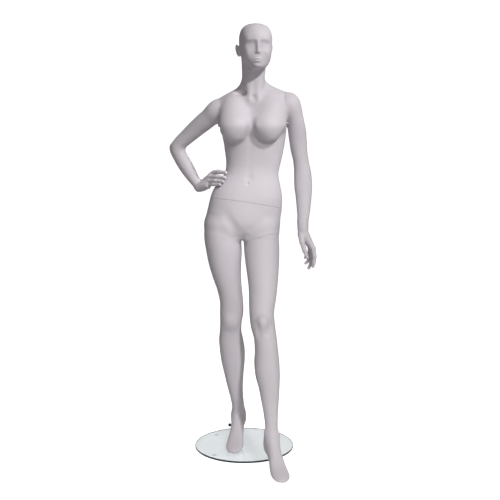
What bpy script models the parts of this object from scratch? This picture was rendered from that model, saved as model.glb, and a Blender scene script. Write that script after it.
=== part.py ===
"""Full-body female shop mannequin on a round glass base.

Metres, +Z up. The origin is the centre of the glass disc at floor level.
The figure faces -Y, so +X is the figure's own left.
Every skin is a hollow glass-fibre shell cut at its dressing seams: waist,
both shoulders, both wrists and the left thigh. Each cut end is closed by an
end plate, and the ends are held together by steel twist-lock fittings.
"""
import math

import bmesh
import bpy
import numpy as np
from mathutils import Matrix, Vector

# ------------------------------------------------------------ driving sizes
NAME = "full_body_mannequin"
DISC_R = 0.210            # glass base
DISC_T = 0.008
DISC_CHAMFER = 0.0012
PAD_R = 0.009             # clear pads that lift the glass off the floor
PAD_T = 0.003
PAD_RING = 0.175
GLASS_TOP = PAD_T + DISC_T
ROD_XY = (-0.020, 0.052)  # foot rod, straight up into the right ankle
ROD_R = 0.006
ROD_TOP = 0.215
FLANGE_R = 0.016
FLANGE_T = 0.004
TUBE_R = 0.0098           # socket tube inside the right ankle
TUBE_BORE = 0.0066
TUBE_Z = (0.036, 0.250)
THUMB_Z = 0.077
THUMB_KNOB_R = 0.0065
WALL = 0.0045             # shell thickness
GAP = 0.0003              # between pieces that touch
SEAM = 0.0006             # open line at each dressing seam
PLATE_T = 0.006           # end plates

# dressing seams: a point on the cut and the direction out of the parent
WAIST_P = Vector((0.012, 0.0, 1.0420))
WAIST_N = Vector((0.144, 0.196, 0.970)).normalized()
RSHO_P = Vector((-0.0960, 0.0130, 1.4350))
RSHO_N = Vector((-1.0, 0.0, 0.0))
LSHO_P = Vector((0.1695, 0.0150, 1.4440))
LSHO_N = Vector((0.9993, 0.0, 0.0370)).normalized()
HIP_P = Vector((0.0725, 0.0020, 0.8960))
HIP_N = Vector((0.278, -0.248, -0.928)).normalized()
RWR_P = Vector((-0.1910, 0.0370, 1.1200))
RWR_N = Vector((0.4630, -0.1650, -0.8710)).normalized()
LWR_P = Vector((0.2436, -0.0220, 0.9840))
LWR_N = Vector((0.0, -0.180, -0.984)).normalized()

# ---------------------------------------------------- sections of the figure
# level, right side, left side, front, back, roundness (2 = ellipse)
TRUNK = [
    (0.915, -0.115, 0.098, -0.046, 0.070, 2.3),
    (0.940, -0.145, 0.126, -0.067, 0.095, 2.3),
    (0.960, -0.1575, 0.142, -0.078, 0.105, 2.3),
    (0.978, -0.160, 0.149, -0.082, 0.1075, 2.3),
    (0.998, -0.156, 0.153, -0.083, 0.106, 2.3),
    (1.048, -0.145, 0.157, -0.085, 0.094, 2.3),
    (1.097, -0.129, 0.154, -0.082, 0.078, 2.25),
    (1.122, -0.114, 0.149, -0.078, 0.071, 2.25),
    (1.147, -0.095, 0.1435, -0.0725, 0.066, 2.25),
    (1.172, -0.0785, 0.1415, -0.068, 0.065, 2.25),
    (1.196, -0.0745, 0.147, -0.066, 0.069, 2.25),
    (1.245, -0.0775, 0.158, -0.069, 0.083, 2.3),
    (1.294, -0.084, 0.167, -0.073, 0.096, 2.4),
    (1.345, -0.088, 0.1745, -0.074, 0.104, 2.4),
    (1.375, -0.088, 0.171, -0.070, 0.104, 2.4),
    (1.405, -0.085, 0.168, -0.063, 0.100, 2.4),
    (1.435, -0.075, 0.155, -0.053, 0.092, 2.3),
    (1.460, -0.052, 0.130, -0.042, 0.078, 2.2),
    (1.480, -0.020, 0.095, -0.030, 0.062, 2.1),
]
RIGHT_LEG = [
    (0.100, -0.0520, 0.0030, 0.018, 0.078, 2.1),
    (0.135, -0.0528, 0.0015, 0.012, 0.076, 2.1),
    (0.170, -0.0536, -0.0002, 0.006, 0.072, 2.1),
    (0.215, -0.0620, -0.0046, -0.002, 0.070, 2.15),
    (0.270, -0.0755, -0.0053, -0.012, 0.073, 2.2),
    (0.325, -0.0878, -0.0018, -0.021, 0.080, 2.2),
    (0.380, -0.0994, 0.0026, -0.029, 0.086, 2.25),
    (0.425, -0.1043, 0.0021, -0.034, 0.086, 2.25),
    (0.465, -0.1068, -0.0042, -0.038, 0.078, 2.25),
    (0.510, -0.1026, -0.0120, -0.045, 0.062, 2.3),
    (0.545, -0.1013, -0.0102, -0.052, 0.057, 2.3),
    (0.585, -0.1017, -0.0040, -0.056, 0.058, 2.3),
    (0.630, -0.1017, -0.0039, -0.060, 0.062, 2.25),
    (0.680, -0.1119, -0.0086, -0.066, 0.068, 2.2),
    (0.735, -0.1304, -0.0125, -0.073, 0.074, 2.2),
    (0.790, -0.1465, -0.0124, -0.078, 0.080, 2.2),
    (0.850, -0.1582, -0.0098, -0.081, 0.088, 2.2),
    (0.900, -0.1655, -0.0140, -0.080, 0.096, 2.2),
    (0.935, -0.1650, -0.0175, -0.0785, 0.1010, 2.2),
    (0.970, -0.1545, -0.0290, -0.0710, 0.0980, 2.2),
    (1.005, -0.1280, -0.0450, -0.0500, 0.0780, 2.1),
]
LEFT_LEG = [
    (0.110, 0.0880, 0.1405, -0.291, -0.233, 2.1),
    (0.143, 0.0860, 0.1377, -0.284, -0.226, 2.1),
    (0.175, 0.0848, 0.1366, -0.273, -0.213, 2.1),
    (0.216, 0.0795, 0.1372, -0.261, -0.196, 2.15),
    (0.266, 0.0701, 0.1408, -0.249, -0.177, 2.2),
    (0.315, 0.0599, 0.1439, -0.241, -0.154, 2.2),
    (0.364, 0.0465, 0.1460, -0.232, -0.129, 2.25),
    (0.413, 0.0414, 0.1442, -0.222, -0.108, 2.25),
    (0.463, 0.0436, 0.1390, -0.210, -0.096, 2.25),
    (0.511, 0.0400, 0.1336, -0.196, -0.090, 2.3),
    (0.555, 0.0282, 0.1276, -0.184, -0.078, 2.3),
    (0.609, 0.0215, 0.1232, -0.167, -0.053, 2.3),
    (0.657, 0.0201, 0.1309, -0.150, -0.028, 2.25),
    (0.705, 0.0184, 0.1372, -0.134, 0.001, 2.2),
    (0.753, 0.0125, 0.1418, -0.117, 0.030, 2.2),
    (0.800, 0.0056, 0.1451, -0.102, 0.056, 2.2),
    (0.850, 0.0002, 0.1463, -0.090, 0.078, 2.2),
    (0.900, 0.0000, 0.1445, -0.082, 0.094, 2.2),
    (0.935, 0.0070, 0.1430, -0.0790, 0.0990, 2.2),
    (0.970, 0.0200, 0.1350, -0.0720, 0.0940, 2.2),
    (1.005, 0.0400, 0.1120, -0.0500, 0.0740, 2.1),
]
# along the foot from the back of the raised heel: big-toe side, little-toe
# side, sole, top, roundness
FOOT = [
    (0.000, -0.010, 0.010, 0.070, 0.112, 2.0),
    (0.010, -0.020, 0.020, 0.061, 0.128, 2.1),
    (0.030, -0.026, 0.026, 0.057, 0.148, 2.2),
    (0.060, -0.0265, 0.0265, 0.053, 0.156, 2.2),
    (0.090, -0.0265, 0.0265, 0.040, 0.138, 2.2),
    (0.120, -0.029, 0.029, 0.0215, 0.104, 2.2),
    (0.150, -0.0345, 0.0335, 0.013, 0.068, 2.3),
    (0.175, -0.0362, 0.0345, 0.012, 0.049, 2.3),
    (0.198, -0.0338, 0.0315, 0.012, 0.037, 2.2),
    (0.214, -0.0255, 0.0215, 0.0125, 0.0285, 2.1),
    (0.224, -0.013, 0.010, 0.014, 0.022, 2.0),
]
R_HEEL, R_TOE = Vector((-0.016, 0.104, 0.0)), Vector((-0.0465, -0.112, 0.0))
L_HEEL, L_TOE = Vector((0.0965, -0.206, -0.007)), Vector((0.1532, -0.4232, -0.007))
HEAD_AXIS = Vector((0.0465, -0.008, 0.0))
HEAD_YAW = math.radians(12.0)
HEAD = [
    (1.588, -0.020, 0.020, -0.072, 0.000, 2.1),
    (1.598, -0.031, 0.031, -0.080, 0.010, 2.1),
    (1.608, -0.0425, 0.0425, -0.081, 0.026, 2.15),
    (1.624, -0.0535, 0.0535, -0.0815, 0.056, 2.2),
    (1.640, -0.060, 0.060, -0.082, 0.078, 2.2),
    (1.656, -0.0635, 0.0635, -0.083, 0.088, 2.2),
    (1.688, -0.0665, 0.0665, -0.085, 0.094, 2.2),
    (1.704, -0.067, 0.067, -0.0855, 0.0945, 2.15),
    (1.720, -0.066, 0.066, -0.083, 0.092, 2.1),
    (1.736, -0.063, 0.063, -0.077, 0.086, 2.05),
    (1.750, -0.055, 0.055, -0.065, 0.075, 2.0),
    (1.761, -0.042, 0.042, -0.049, 0.059, 2.0),
    (1.769, -0.022, 0.022, -0.028, 0.038, 2.0),
    (1.771, -0.006, 0.006, -0.008, 0.016, 2.0),
]
NECK = [
    (0.000, -0.048, 0.048, -0.048, 0.050, 2.0),
    (0.060, -0.0465, 0.046, -0.046, 0.048, 2.0),
    (0.130, -0.0455, 0.045, -0.045, 0.045, 2.0),
    (0.180, -0.044, 0.044, -0.044, 0.044, 2.0),
]
LEFT_ARM = [
    (0.925, 0.2215, 0.2655, -0.052, -0.012, 2.1),
    (0.973, 0.2205, 0.2655, -0.047, -0.002, 2.1),
    (0.998, 0.2185, 0.2685, -0.043, 0.005, 2.1),
    (1.035, 0.2155, 0.2740, -0.037, 0.015, 2.1),
    (1.073, 0.2120, 0.2775, -0.031, 0.025, 2.15),
    (1.110, 0.2070, 0.2800, -0.027, 0.034, 2.15),
    (1.147, 0.2055, 0.2790, -0.023, 0.041, 2.15),
    (1.185, 0.2050, 0.2740, -0.018, 0.048, 2.15),
    (1.221, 0.2010, 0.2660, -0.014, 0.052, 2.1),
    (1.300, 0.1860, 0.2575, -0.017, 0.053, 2.1),
    (1.343, 0.1810, 0.2540, -0.021, 0.055, 2.1),
    (1.383, 0.1740, 0.2480, -0.025, 0.057, 2.1),
    (1.416, 0.1640, 0.2410, -0.027, 0.058, 2.1),
    (1.440, 0.1560, 0.2330, -0.025, 0.056, 2.1),
    (1.465, 0.1480, 0.2180, -0.018, 0.048, 2.0),
]
R_SHOULDER = Vector((-0.118, 0.012, 1.420))
R_ELBOW = Vector((-0.279, 0.066, 1.271))
R_WRIST = Vector((-0.190, 0.036, 1.109))
UPPER_ARM = [
    (-0.030, -0.030, 0.030, -0.034, 0.034, 2.0),
    (0.000, -0.0375, 0.0370, -0.042, 0.042, 2.1),
    (0.045, -0.0365, 0.0395, -0.041, 0.041, 2.1),
    (0.095, -0.0315, 0.0400, -0.037, 0.037, 2.1),
    (0.150, -0.0265, 0.0375, -0.034, 0.034, 2.1),
    (0.223, -0.0245, 0.0320, -0.032, 0.032, 2.1),
    (0.242, -0.022, 0.022, -0.024, 0.024, 2.0),
]
FOREARM = [
    (-0.018, -0.021, 0.021, -0.023, 0.023, 2.0),
    (0.000, -0.0240, 0.0320, -0.032, 0.032, 2.1),
    (0.045, -0.0265, 0.0335, -0.0335, 0.0335, 2.1),
    (0.090, -0.0255, 0.0315, -0.031, 0.031, 2.1),
    (0.135, -0.0225, 0.0260, -0.026, 0.026, 2.1),
    (0.165, -0.0215, 0.0220, -0.0230, 0.0230, 2.1),
    (0.205, -0.0200, 0.0200, -0.0215, 0.0215, 2.0),
]
# fingers as chains of joints from the wrist outwards, and a radius at each
R_HAND = [
    ((R_WRIST, (-0.172, 0.030, 1.126)), (0.0195, 0.0200)),
    (((-0.172, 0.026, 1.130), (-0.130, -0.002, 1.172), (-0.104, -0.030, 1.1765), (-0.074, -0.058, 1.1745)), (0.0150, 0.0108, 0.0092, 0.0074)),
    (((-0.173, 0.025, 1.126), (-0.137, -0.006, 1.156), (-0.110, -0.036, 1.159), (-0.078, -0.062, 1.1575)), (0.0150, 0.0110, 0.0094, 0.0075)),
    (((-0.174, 0.025, 1.121), (-0.143, -0.006, 1.140), (-0.117, -0.036, 1.143), (-0.086, -0.060, 1.1425)), (0.0150, 0.0104, 0.0088, 0.0071)),
    (((-0.176, 0.026, 1.116), (-0.148, -0.002, 1.126), (-0.125, -0.030, 1.1285), (-0.097, -0.054, 1.1290)), (0.0150, 0.0095, 0.0080, 0.0065)),
    (((-0.180, 0.038, 1.120), (-0.160, 0.056, 1.138), (-0.144, 0.066, 1.156), (-0.132, 0.070, 1.170)), (0.0140, 0.0118, 0.0098, 0.0076)),
]
L_HAND = [
    (((0.2436, -0.0210, 0.995), (0.2436, -0.0270, 0.955), (0.2465, -0.028, 0.915)), (0.0212, 0.0212, 0.0195)),
    (((0.2465, -0.030, 0.915), (0.2870, -0.034, 0.862), (0.2940, -0.040, 0.830), (0.2920, -0.036, 0.806), (0.2885, -0.030, 0.790)), (0.0160, 0.0102, 0.0090, 0.0079, 0.0070)),
    (((0.2460, -0.026, 0.915), (0.2780, -0.014, 0.858), (0.2850, -0.016, 0.822), (0.2790, -0.004, 0.798), (0.2705, 0.004, 0.782)), (0.0160, 0.0104, 0.0092, 0.0081, 0.0070)),
    (((0.2455, -0.022, 0.915), (0.2690, 0.004, 0.856), (0.2740, 0.008, 0.822), (0.2650, 0.018, 0.804), (0.2555, 0.022, 0.795)), (0.0155, 0.0098, 0.0086, 0.0076, 0.0067)),
    (((0.2450, -0.018, 0.915), (0.2600, 0.018, 0.858), (0.2630, 0.026, 0.830), (0.2560, 0.034, 0.818), (0.2490, 0.036, 0.813)), (0.0150, 0.0090, 0.0078, 0.0069, 0.0060)),
    (((0.2370, -0.034, 0.925), (0.2400, -0.052, 0.885), (0.2500, -0.060, 0.855), (0.2620, -0.060, 0.830)), (0.0150, 0.0116, 0.0098, 0.0076)),
]

# ------------------------------------------------------------------- scene
for old in list(bpy.data.objects):
    bpy.data.objects.remove(old, do_unlink=True)
parts = bpy.data.collections.new(NAME)
cutters = bpy.data.collections.new("cutters")
bpy.context.scene.collection.children.link(parts)
bpy.context.scene.collection.children.link(cutters)
cutters.hide_render = True


def material(name, colour, roughness, metallic=0.0, clear=0.0):
    m = bpy.data.materials.new(name)
    m.use_nodes = True
    b = m.node_tree.nodes["Principled BSDF"]
    b.inputs["Base Color"].default_value = (*colour, 1.0)
    b.inputs["Roughness"].default_value = roughness
    b.inputs["Metallic"].default_value = metallic
    b.inputs["Transmission Weight"].default_value = clear
    m.diffuse_color = (*colour, 1.0)
    return m


SKIN = (0.60, 0.575, 0.61)
STEEL = (0.62, 0.62, 0.63)


def obj_from(bm, name, where=parts, mat=None, smooth=True):
    mesh = bpy.data.meshes.new(name)
    bm.to_mesh(mesh)
    bm.free()
    o = bpy.data.objects.new(name, mesh)
    where.objects.link(o)
    if mat:
        mesh.materials.append(mat)
    if smooth:
        mesh.shade_smooth()
    if where is cutters:
        o.hide_render = True
        o.display_type = "WIRE"
    return o


def across(n):
    """A rotation whose local Z lies along n."""
    return n.to_track_quat("Z", "Y").to_matrix().to_4x4()


# ------------------------------------------------------------ body surfaces
def through(levels, values, t):
    """A smooth curve through the sections, so that a loft has no ridges."""
    x, y = np.array(levels, float), np.array(values, float)
    h = np.diff(x)
    d = np.diff(y) / h
    m = np.empty_like(y)
    m[1:-1] = (h[1:] * d[:-1] + h[:-1] * d[1:]) / (h[1:] + h[:-1])
    m[0], m[-1] = d[0], d[-1]
    i = np.clip(np.searchsorted(x, t) - 1, 0, len(x) - 2)
    s = (t - x[i]) / h[i]
    return ((2 * s**3 - 3 * s**2 + 1) * y[i] + (s**3 - 2 * s**2 + s) * h[i] * m[i]
            + (3 * s**2 - 2 * s**3) * y[i + 1] + (s**3 - s**2) * h[i] * m[i + 1])


def add_loft(bm, sections, origin=Vector((0, 0, 0)), w=Vector((0, 0, 1)), u=Vector((1, 0, 0)), sides=36):
    """Rounded sections strung along w; u is the sideways direction."""
    w = w.normalized()
    u = (u - w * u.dot(w)).normalized()
    v = w.cross(u)
    levels = [s[0] for s in sections]
    t = np.concatenate([np.linspace(a, b, 4)[:-1] for a, b in zip(levels[:-1], levels[1:])] + [[levels[-1]]])
    u0, u1, v0, v1, n = (through(levels, [s[k] for s in sections], t) for k in range(1, 6))
    rings = []
    for k, level in enumerate(t):
        ring = []
        for j in range(sides):
            a = 2 * math.pi * j / sides
            c, s = math.cos(a), math.sin(a)
            r = (abs(c) ** n[k] + abs(s) ** n[k]) ** (-1 / n[k])
            du = (u0[k] + u1[k]) / 2 + (u1[k] - u0[k]) / 2 * r * c
            dv = (v0[k] + v1[k]) / 2 + (v1[k] - v0[k]) / 2 * r * s
            ring.append(bm.verts.new(origin + w * float(level) + u * float(du) + v * float(dv)))
        rings.append(ring)
    for a, b in zip(rings[:-1], rings[1:]):
        for j in range(sides):
            k = (j + 1) % sides
            bm.faces.new((a[j], a[k], b[k], b[j]))
    bm.faces.new(list(reversed(rings[0])))
    bm.faces.new(rings[-1])


def add_ellipsoid(bm, centre, radii, turn=Matrix.Identity(4)):
    m = Matrix.Translation(centre) @ turn @ Matrix.Diagonal((*radii, 1.0))
    bmesh.ops.create_uvsphere(bm, u_segments=28, v_segments=16, radius=1.0, matrix=m)


def add_limb(bm, a, b, ra, rb):
    """A tapering limb with round ends."""
    a, b = Vector(a), Vector(b)
    n = b - a
    turn = across(n)
    bmesh.ops.create_cone(bm, cap_ends=True, segments=24, radius1=ra, radius2=rb, depth=n.length,
                          matrix=Matrix.Translation((a + b) / 2) @ turn)
    for c, r in ((a, ra), (b, rb)):
        bmesh.ops.create_uvsphere(bm, u_segments=24, v_segments=12, radius=r, matrix=Matrix.Translation(c))


def add_foot(bm, heel, toe, side):
    """side +1 puts the big toe toward -X, -1 toward +X."""
    sections = [(s[0], *((s[1], s[2]) if side > 0 else (-s[2], -s[1])), s[3], s[4], s[5]) for s in FOOT]
    add_loft(bm, sections, heel, toe - heel, Vector((1, 0, 0)))


def add_trunk(bm, low, high):
    add_loft(bm, [s for s in TRUNK if low <= s[0] <= high])


def add_shoulders(bm):
    add_ellipsoid(bm, (0.038, 0.030, 1.452), (0.108, 0.060, 0.062))
    add_limb(bm, (0.020, 0.034, 1.512), (-0.105, 0.014, 1.4365), 0.033, 0.0385)
    add_limb(bm, (0.062, 0.034, 1.520), (0.175, 0.016, 1.4590), 0.033, 0.0400)


def add_seat(bm, sides=("R", "L")):
    if "R" in sides:
        add_ellipsoid(bm, (-0.078, 0.058, 0.945), (0.077, 0.071, 0.074))
    if "L" in sides:
        add_ellipsoid(bm, (0.068, 0.058, 0.940), (0.075, 0.071, 0.074))


def add_right_arm(bm):
    add_loft(bm, UPPER_ARM, R_SHOULDER, R_ELBOW - R_SHOULDER, Vector((-0.7, 0, 0.7)))
    add_loft(bm, FOREARM, R_ELBOW, R_WRIST - R_ELBOW, Vector((-0.87, 0, -0.49)))
    add_ellipsoid(bm, R_SHOULDER + Vector((-0.008, 0, -0.004)), (0.043, 0.045, 0.045))


def add_left_arm(bm):
    add_loft(bm, LEFT_ARM)
    add_ellipsoid(bm, (0.190, 0.016, 1.451), (0.040, 0.042, 0.049))


def fused(name, build, voxel, smooth, triangles, inset=0.0):
    """One skin from overlapping forms; inset moves it inwards."""
    bm = bmesh.new()
    build(bm)
    bmesh.ops.recalc_face_normals(bm, faces=bm.faces[:])
    o = obj_from(bm, name, cutters)

    def settle(kind, **values):
        mod = o.modifiers.new(kind, kind)
        for k, v in values.items():
            setattr(mod, k, v)
        mesh = bpy.data.meshes.new_from_object(o.evaluated_get(bpy.context.evaluated_depsgraph_get()))
        o.modifiers.clear()
        o.data = mesh

    settle("REMESH", mode="VOXEL", voxel_size=voxel, adaptivity=0.0)
    settle("SMOOTH", factor=0.5, iterations=smooth)
    if inset:
        settle("DISPLACE", strength=-inset, mid_level=0.0, direction="NORMAL")
        settle("REMESH", mode="VOXEL", voxel_size=voxel, adaptivity=0.0)
        settle("SMOOTH", factor=0.5, iterations=2)
    settle("TRIANGULATE")
    count = len(o.data.polygons)
    settle("DECIMATE", decimate_type="COLLAPSE", ratio=min(1.0, triangles / count), use_collapse_triangulate=True)
    return o


def cut(mesh, planes):
    """Cuts a closed mesh at each plane, keeps the side the normal points to, and closes it."""
    bm = bmesh.new()
    bm.from_mesh(mesh)
    for p, n in planes:
        geom = bm.verts[:] + bm.edges[:] + bm.faces[:]
        r = bmesh.ops.bisect_plane(bm, geom=geom, dist=1e-6, plane_co=p, plane_no=n, clear_inner=True)
        edges = [e for e in bm.edges if e.is_boundary]
        bmesh.ops.holes_fill(bm, edges=edges, sides=0)
        bmesh.ops.triangulate(bm, faces=[f for f in bm.faces if len(f.verts) > 4])
    bmesh.ops.recalc_face_normals(bm, faces=bm.faces[:])
    return bm


def biggest(bm):
    """Only the largest connected body."""
    seen, best = set(), []
    for start in bm.verts:
        if start.index in seen:
            continue
        stack, group = [start], []
        seen.add(start.index)
        while stack:
            v = stack.pop()
            group.append(v)
            for e in v.link_edges:
                w = e.other_vert(v)
                if w.index not in seen:
                    seen.add(w.index)
                    stack.append(w)
        if len(group) > len(best):
            best = group
    keep = set(best)
    bmesh.ops.delete(bm, geom=[v for v in bm.verts if v not in keep], context="VERTS")
    return bm


def boolean(o, other, operation="DIFFERENCE"):
    m = o.modifiers.new(operation.lower(), "BOOLEAN")
    m.operation = operation
    m.solver = "EXACT"
    m.object = other
    return m


def shell(name, outer, inner, planes, mat):
    bm = cut(outer.data, planes)
    bm.verts.index_update()
    o = obj_from(biggest(bm), name, parts, mat)
    boolean(o, inner)
    return o


def seam_block(name, low, high, p, n):
    """A block beyond the plane through p, on the side n points to."""
    bm = bmesh.new()
    size = Vector(high) - Vector(low)
    bmesh.ops.create_cube(bm, size=1.0, matrix=Matrix.Translation((Vector(high) + Vector(low)) / 2) @ Matrix.Diagonal((*size, 1.0)))
    mesh = bpy.data.meshes.new(name)
    bm.to_mesh(mesh)
    bm.free()
    return obj_from(cut(mesh, [(p, n)]), name, cutters, smooth=False)


def end_plate(name, inner, p, n, mat, near, thick=PLATE_T, cutout=None):
    """A plate that fills the mouth of a shell, lying behind its rim. n points out of the mouth."""
    bm = bmesh.new()
    bm.from_mesh(inner.data)
    bm.normal_update()
    moves = [(v, v.normal.copy()) for v in bm.verts]
    for v, normal in moves:
        v.co -= normal * 0.0009
    mesh = bpy.data.meshes.new("tmp")
    bm.to_mesh(mesh)
    bm.free()
    planes = [(p - n * 0.0011, -n), (p - n * (0.0011 + thick), n)]
    bm = cut(mesh, planes)
    bpy.data.meshes.remove(mesh)
    # the plug nearest to the seam point is the plate
    bm.verts.index_update()
    bm = nearest_body(bm, near)
    o = obj_from(bm, name, parts, mat, smooth=False)
    if cutout:
        boolean(o, cutout)
    return o


def nearest_body(bm, point):
    seen, best, far = set(), [], 1e9
    for start in bm.verts:
        if start.index in seen:
            continue
        stack, group = [start], []
        seen.add(start.index)
        while stack:
            v = stack.pop()
            group.append(v)
            for e in v.link_edges:
                w = e.other_vert(v)
                if w.index not in seen:
                    seen.add(w.index)
                    stack.append(w)
        d = (sum((v.co for v in group), Vector()) / len(group) - point).length
        if d < far:
            best, far = group, d
    keep = set(best)
    bmesh.ops.delete(bm, geom=[v for v in bm.verts if v not in keep], context="VERTS")
    return bm


# ------------------------------------------------------------ turned pieces
def cylinder(name, p, n, z0, z1, r, where=parts, mat=None, segments=28, bore=0.0):
    """A round piece along n from z0 to z1 measured from p."""
    if bore:
        bm = bmesh.new()
        prof = [(r, z1), (r, z0), (bore, z0), (bore, z1)]
        vs = [bm.verts.new((x, 0, z)) for x, z in prof]
        for a, b in zip(vs, vs[1:] + vs[:1]):
            bm.edges.new((a, b))
        o = obj_from(bm, name, where, mat)
        m = o.modifiers.new("turn", "SCREW")
        m.steps = m.render_steps = segments
        m.use_merge_vertices = True
        m.merge_threshold = 0.00001
        m.use_smooth_shade = True
    else:
        bm = bmesh.new()
        bmesh.ops.create_cone(bm, cap_ends=True, segments=segments, radius1=r, radius2=r, depth=z1 - z0,
                              matrix=Matrix.Translation((0, 0, (z0 + z1) / 2)))
        o = obj_from(bm, name, where, mat)
        o.data.set_sharp_from_angle(angle=math.radians(40))
    o.matrix_world = Matrix.Translation(p) @ across(n)
    return o


def turned(name, profile, p, n, mat, segments=28, where=parts):
    """A solid of revolution; the profile runs down its outer side, axis to axis."""
    bm = bmesh.new()
    vs = [bm.verts.new((x, 0, z)) for x, z in profile]
    for a, b in zip(vs[:-1], vs[1:]):
        bm.edges.new((a, b))
    o = obj_from(bm, name, where, mat)
    m = o.modifiers.new("turn", "SCREW")
    m.steps = m.render_steps = segments
    m.use_merge_vertices = True
    m.merge_threshold = 0.00001
    m.use_smooth_shade = True
    o.matrix_world = Matrix.Translation(p) @ across(n)
    return o


def box(name, p, n, size, centre, where=parts, mat=None, spin=0.0):
    bm = bmesh.new()
    bmesh.ops.create_cube(bm, size=1.0, matrix=Matrix.Rotation(spin, 4, "Z") @ Matrix.Translation(centre) @ Matrix.Diagonal((*size, 1.0)))
    o = obj_from(bm, name, where, mat, smooth=False)
    o.matrix_world = Matrix.Translation(p) @ across(n)
    return o


def twist_lock(label, p, n, s, parent_plate, child_plate, nut=True):
    """Steel twist-lock: a slotted disc behind the parent's plate takes the
    T-shaped head of a stud that stands on the child's plate. n points from
    parent to child, s scales the fitting."""
    hole = cylinder(f"{label}_mouth", p, n, -0.05, 0.0, 0.0160 * s, cutters)
    boolean(parent_plate, hole)
    disc = cylinder(f"{label}_lock_disc", p, n, -0.0074 - 0.003, -0.0074, 0.0225 * s, parts,
                    material(f"{label}_disc_steel", STEEL, 0.32, 1.0), 24)
    slot = box(f"{label}_slot", p, n, (0.0230 * s, 0.0078 * s, 0.02), (0, 0, -0.009), cutters)
    eye = cylinder(f"{label}_eye", p, n, -0.02, 0.0, 0.0050 * s, cutters, segments=16)
    boolean(disc, slot)
    boolean(disc, eye)
    shaft, head = 0.0040 * s, 0.0034 * s
    tail = 0.0150 if nut else 0.0120
    seat = 0.0008 if nut else 0.0
    prof = [(0, tail), (shaft, tail), (shaft, seat), (0.0140 * s, seat), (0.0140 * s, -0.0018), (shaft, -0.0018),
            (shaft, -0.0117), (0, -0.0117)]
    stud = turned(f"{label}_stud", prof, p, n, material(f"{label}_stud_steel", STEEL, 0.28, 1.0), 18)
    bar = box(f"{label}_bar", p, n, (0.0068 * s, 0.0210 * s, head), (0, 0, -0.0113 - head / 2), cutters)
    boolean(stud, bar, "UNION")
    if child_plate:
        boolean(child_plate, cylinder(f"{label}_tail_hole", p, n, 0.0, 0.03, shaft + 0.0004, cutters, segments=16))
    if nut:
        bm = bmesh.new()
        bmesh.ops.create_cone(bm, cap_ends=True, segments=6, radius1=0.0078 * s, radius2=0.0078 * s, depth=0.0060,
                              matrix=Matrix.Translation((0, 0, 0.0104)))
        o = obj_from(bm, f"{label}_nut", parts, material(f"{label}_nut_steel", STEEL, 0.35, 1.0), smooth=False)
        o.matrix_world = Matrix.Translation(p) @ across(n)
        boolean(o, cylinder(f"{label}_nut_bore", p, n, 0.0, 0.03, shaft + 0.0004, cutters, segments=16))
    return stud, disc


# ------------------------------------------------------------------ skins
def upper_forms(bm):
    add_trunk(bm, 0.99, 1.49)
    add_shoulders(bm)
    add_ellipsoid(bm, (-0.0335, -0.0700, 1.3490), (0.0560, 0.0480, 0.0540))
    add_ellipsoid(bm, (0.0955, -0.0700, 1.3480), (0.0560, 0.0480, 0.0540))
    for x in (-0.036, 0.100):
        add_ellipsoid(bm, (x, -0.034, 1.398), (0.058, 0.044, 0.086))
    add_loft(bm, NECK, Vector((0.0385, 0.030, 1.47)), Vector((0.0, -0.17, 1.0)))
    turn = Matrix.Rotation(HEAD_YAW, 3, "Z")
    add_loft(bm, HEAD, HEAD_AXIS, Vector((0, 0, 1)), turn @ Vector((1, 0, 0)))
    at = lambda x, y, z: HEAD_AXIS + turn @ Vector((x, y, z))
    add_limb(bm, at(0, -0.083, 1.694), at(0, -0.094, 1.658), 0.0060, 0.0085)
    for s in (-1, 1):
        add_ellipsoid(bm, at(s * 0.0680, 0.014, 1.664), (0.0110, 0.0160, 0.0240), turn.to_4x4())
    add_ellipsoid(bm, R_SHOULDER + Vector((-0.008, 0, -0.004)), (0.043, 0.045, 0.045))
    add_ellipsoid(bm, (0.190, 0.016, 1.451), (0.040, 0.042, 0.049))


def lower_forms(bm):
    add_trunk(bm, 0.89, 1.13)
    add_seat(bm)
    add_ellipsoid(bm, (-0.004, -0.036, 0.962), (0.060, 0.036, 0.054))
    add_loft(bm, RIGHT_LEG)
    add_loft(bm, [s for s in LEFT_LEG if s[0] > 0.74])
    add_foot(bm, R_HEEL, R_TOE, -1)


def left_leg_forms(bm):
    add_loft(bm, LEFT_LEG)
    add_seat(bm, ("L",))
    add_foot(bm, L_HEEL, L_TOE, 1)


def right_arm_forms(bm):
    add_right_arm(bm)
    add_limb(bm, (0.020, 0.034, 1.512), (-0.105, 0.014, 1.4365), 0.033, 0.0385)


def left_arm_forms(bm):
    add_left_arm(bm)
    add_limb(bm, (0.062, 0.034, 1.520), (0.175, 0.016, 1.4590), 0.033, 0.0400)


def hand_forms(chains):
    def build(bm):
        for points, radii in chains:
            for a, b, ra, rb in zip(points[:-1], points[1:], radii[:-1], radii[1:]):
                add_limb(bm, a, b, ra, rb)
    return build


def skins(label, build, outer_tris, inner_tris, voxel=0.005):
    return (fused(f"{label}_outer", build, voxel, 8, outer_tris),
            fused(f"{label}_inner", build, voxel, 8, inner_tris, WALL))


half = SEAM / 2
up_out, up_in = skins("upper", upper_forms, 1900, 950)
lo_out, lo_in = skins("lower", lower_forms, 1650, 850)
leg_out, leg_in = skins("left_leg", left_leg_forms, 900, 500)
ra_out, ra_in = skins("right_arm", right_arm_forms, 560, 330, 0.004)
la_out, la_in = skins("left_arm", left_arm_forms, 560, 330, 0.004)

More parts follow.
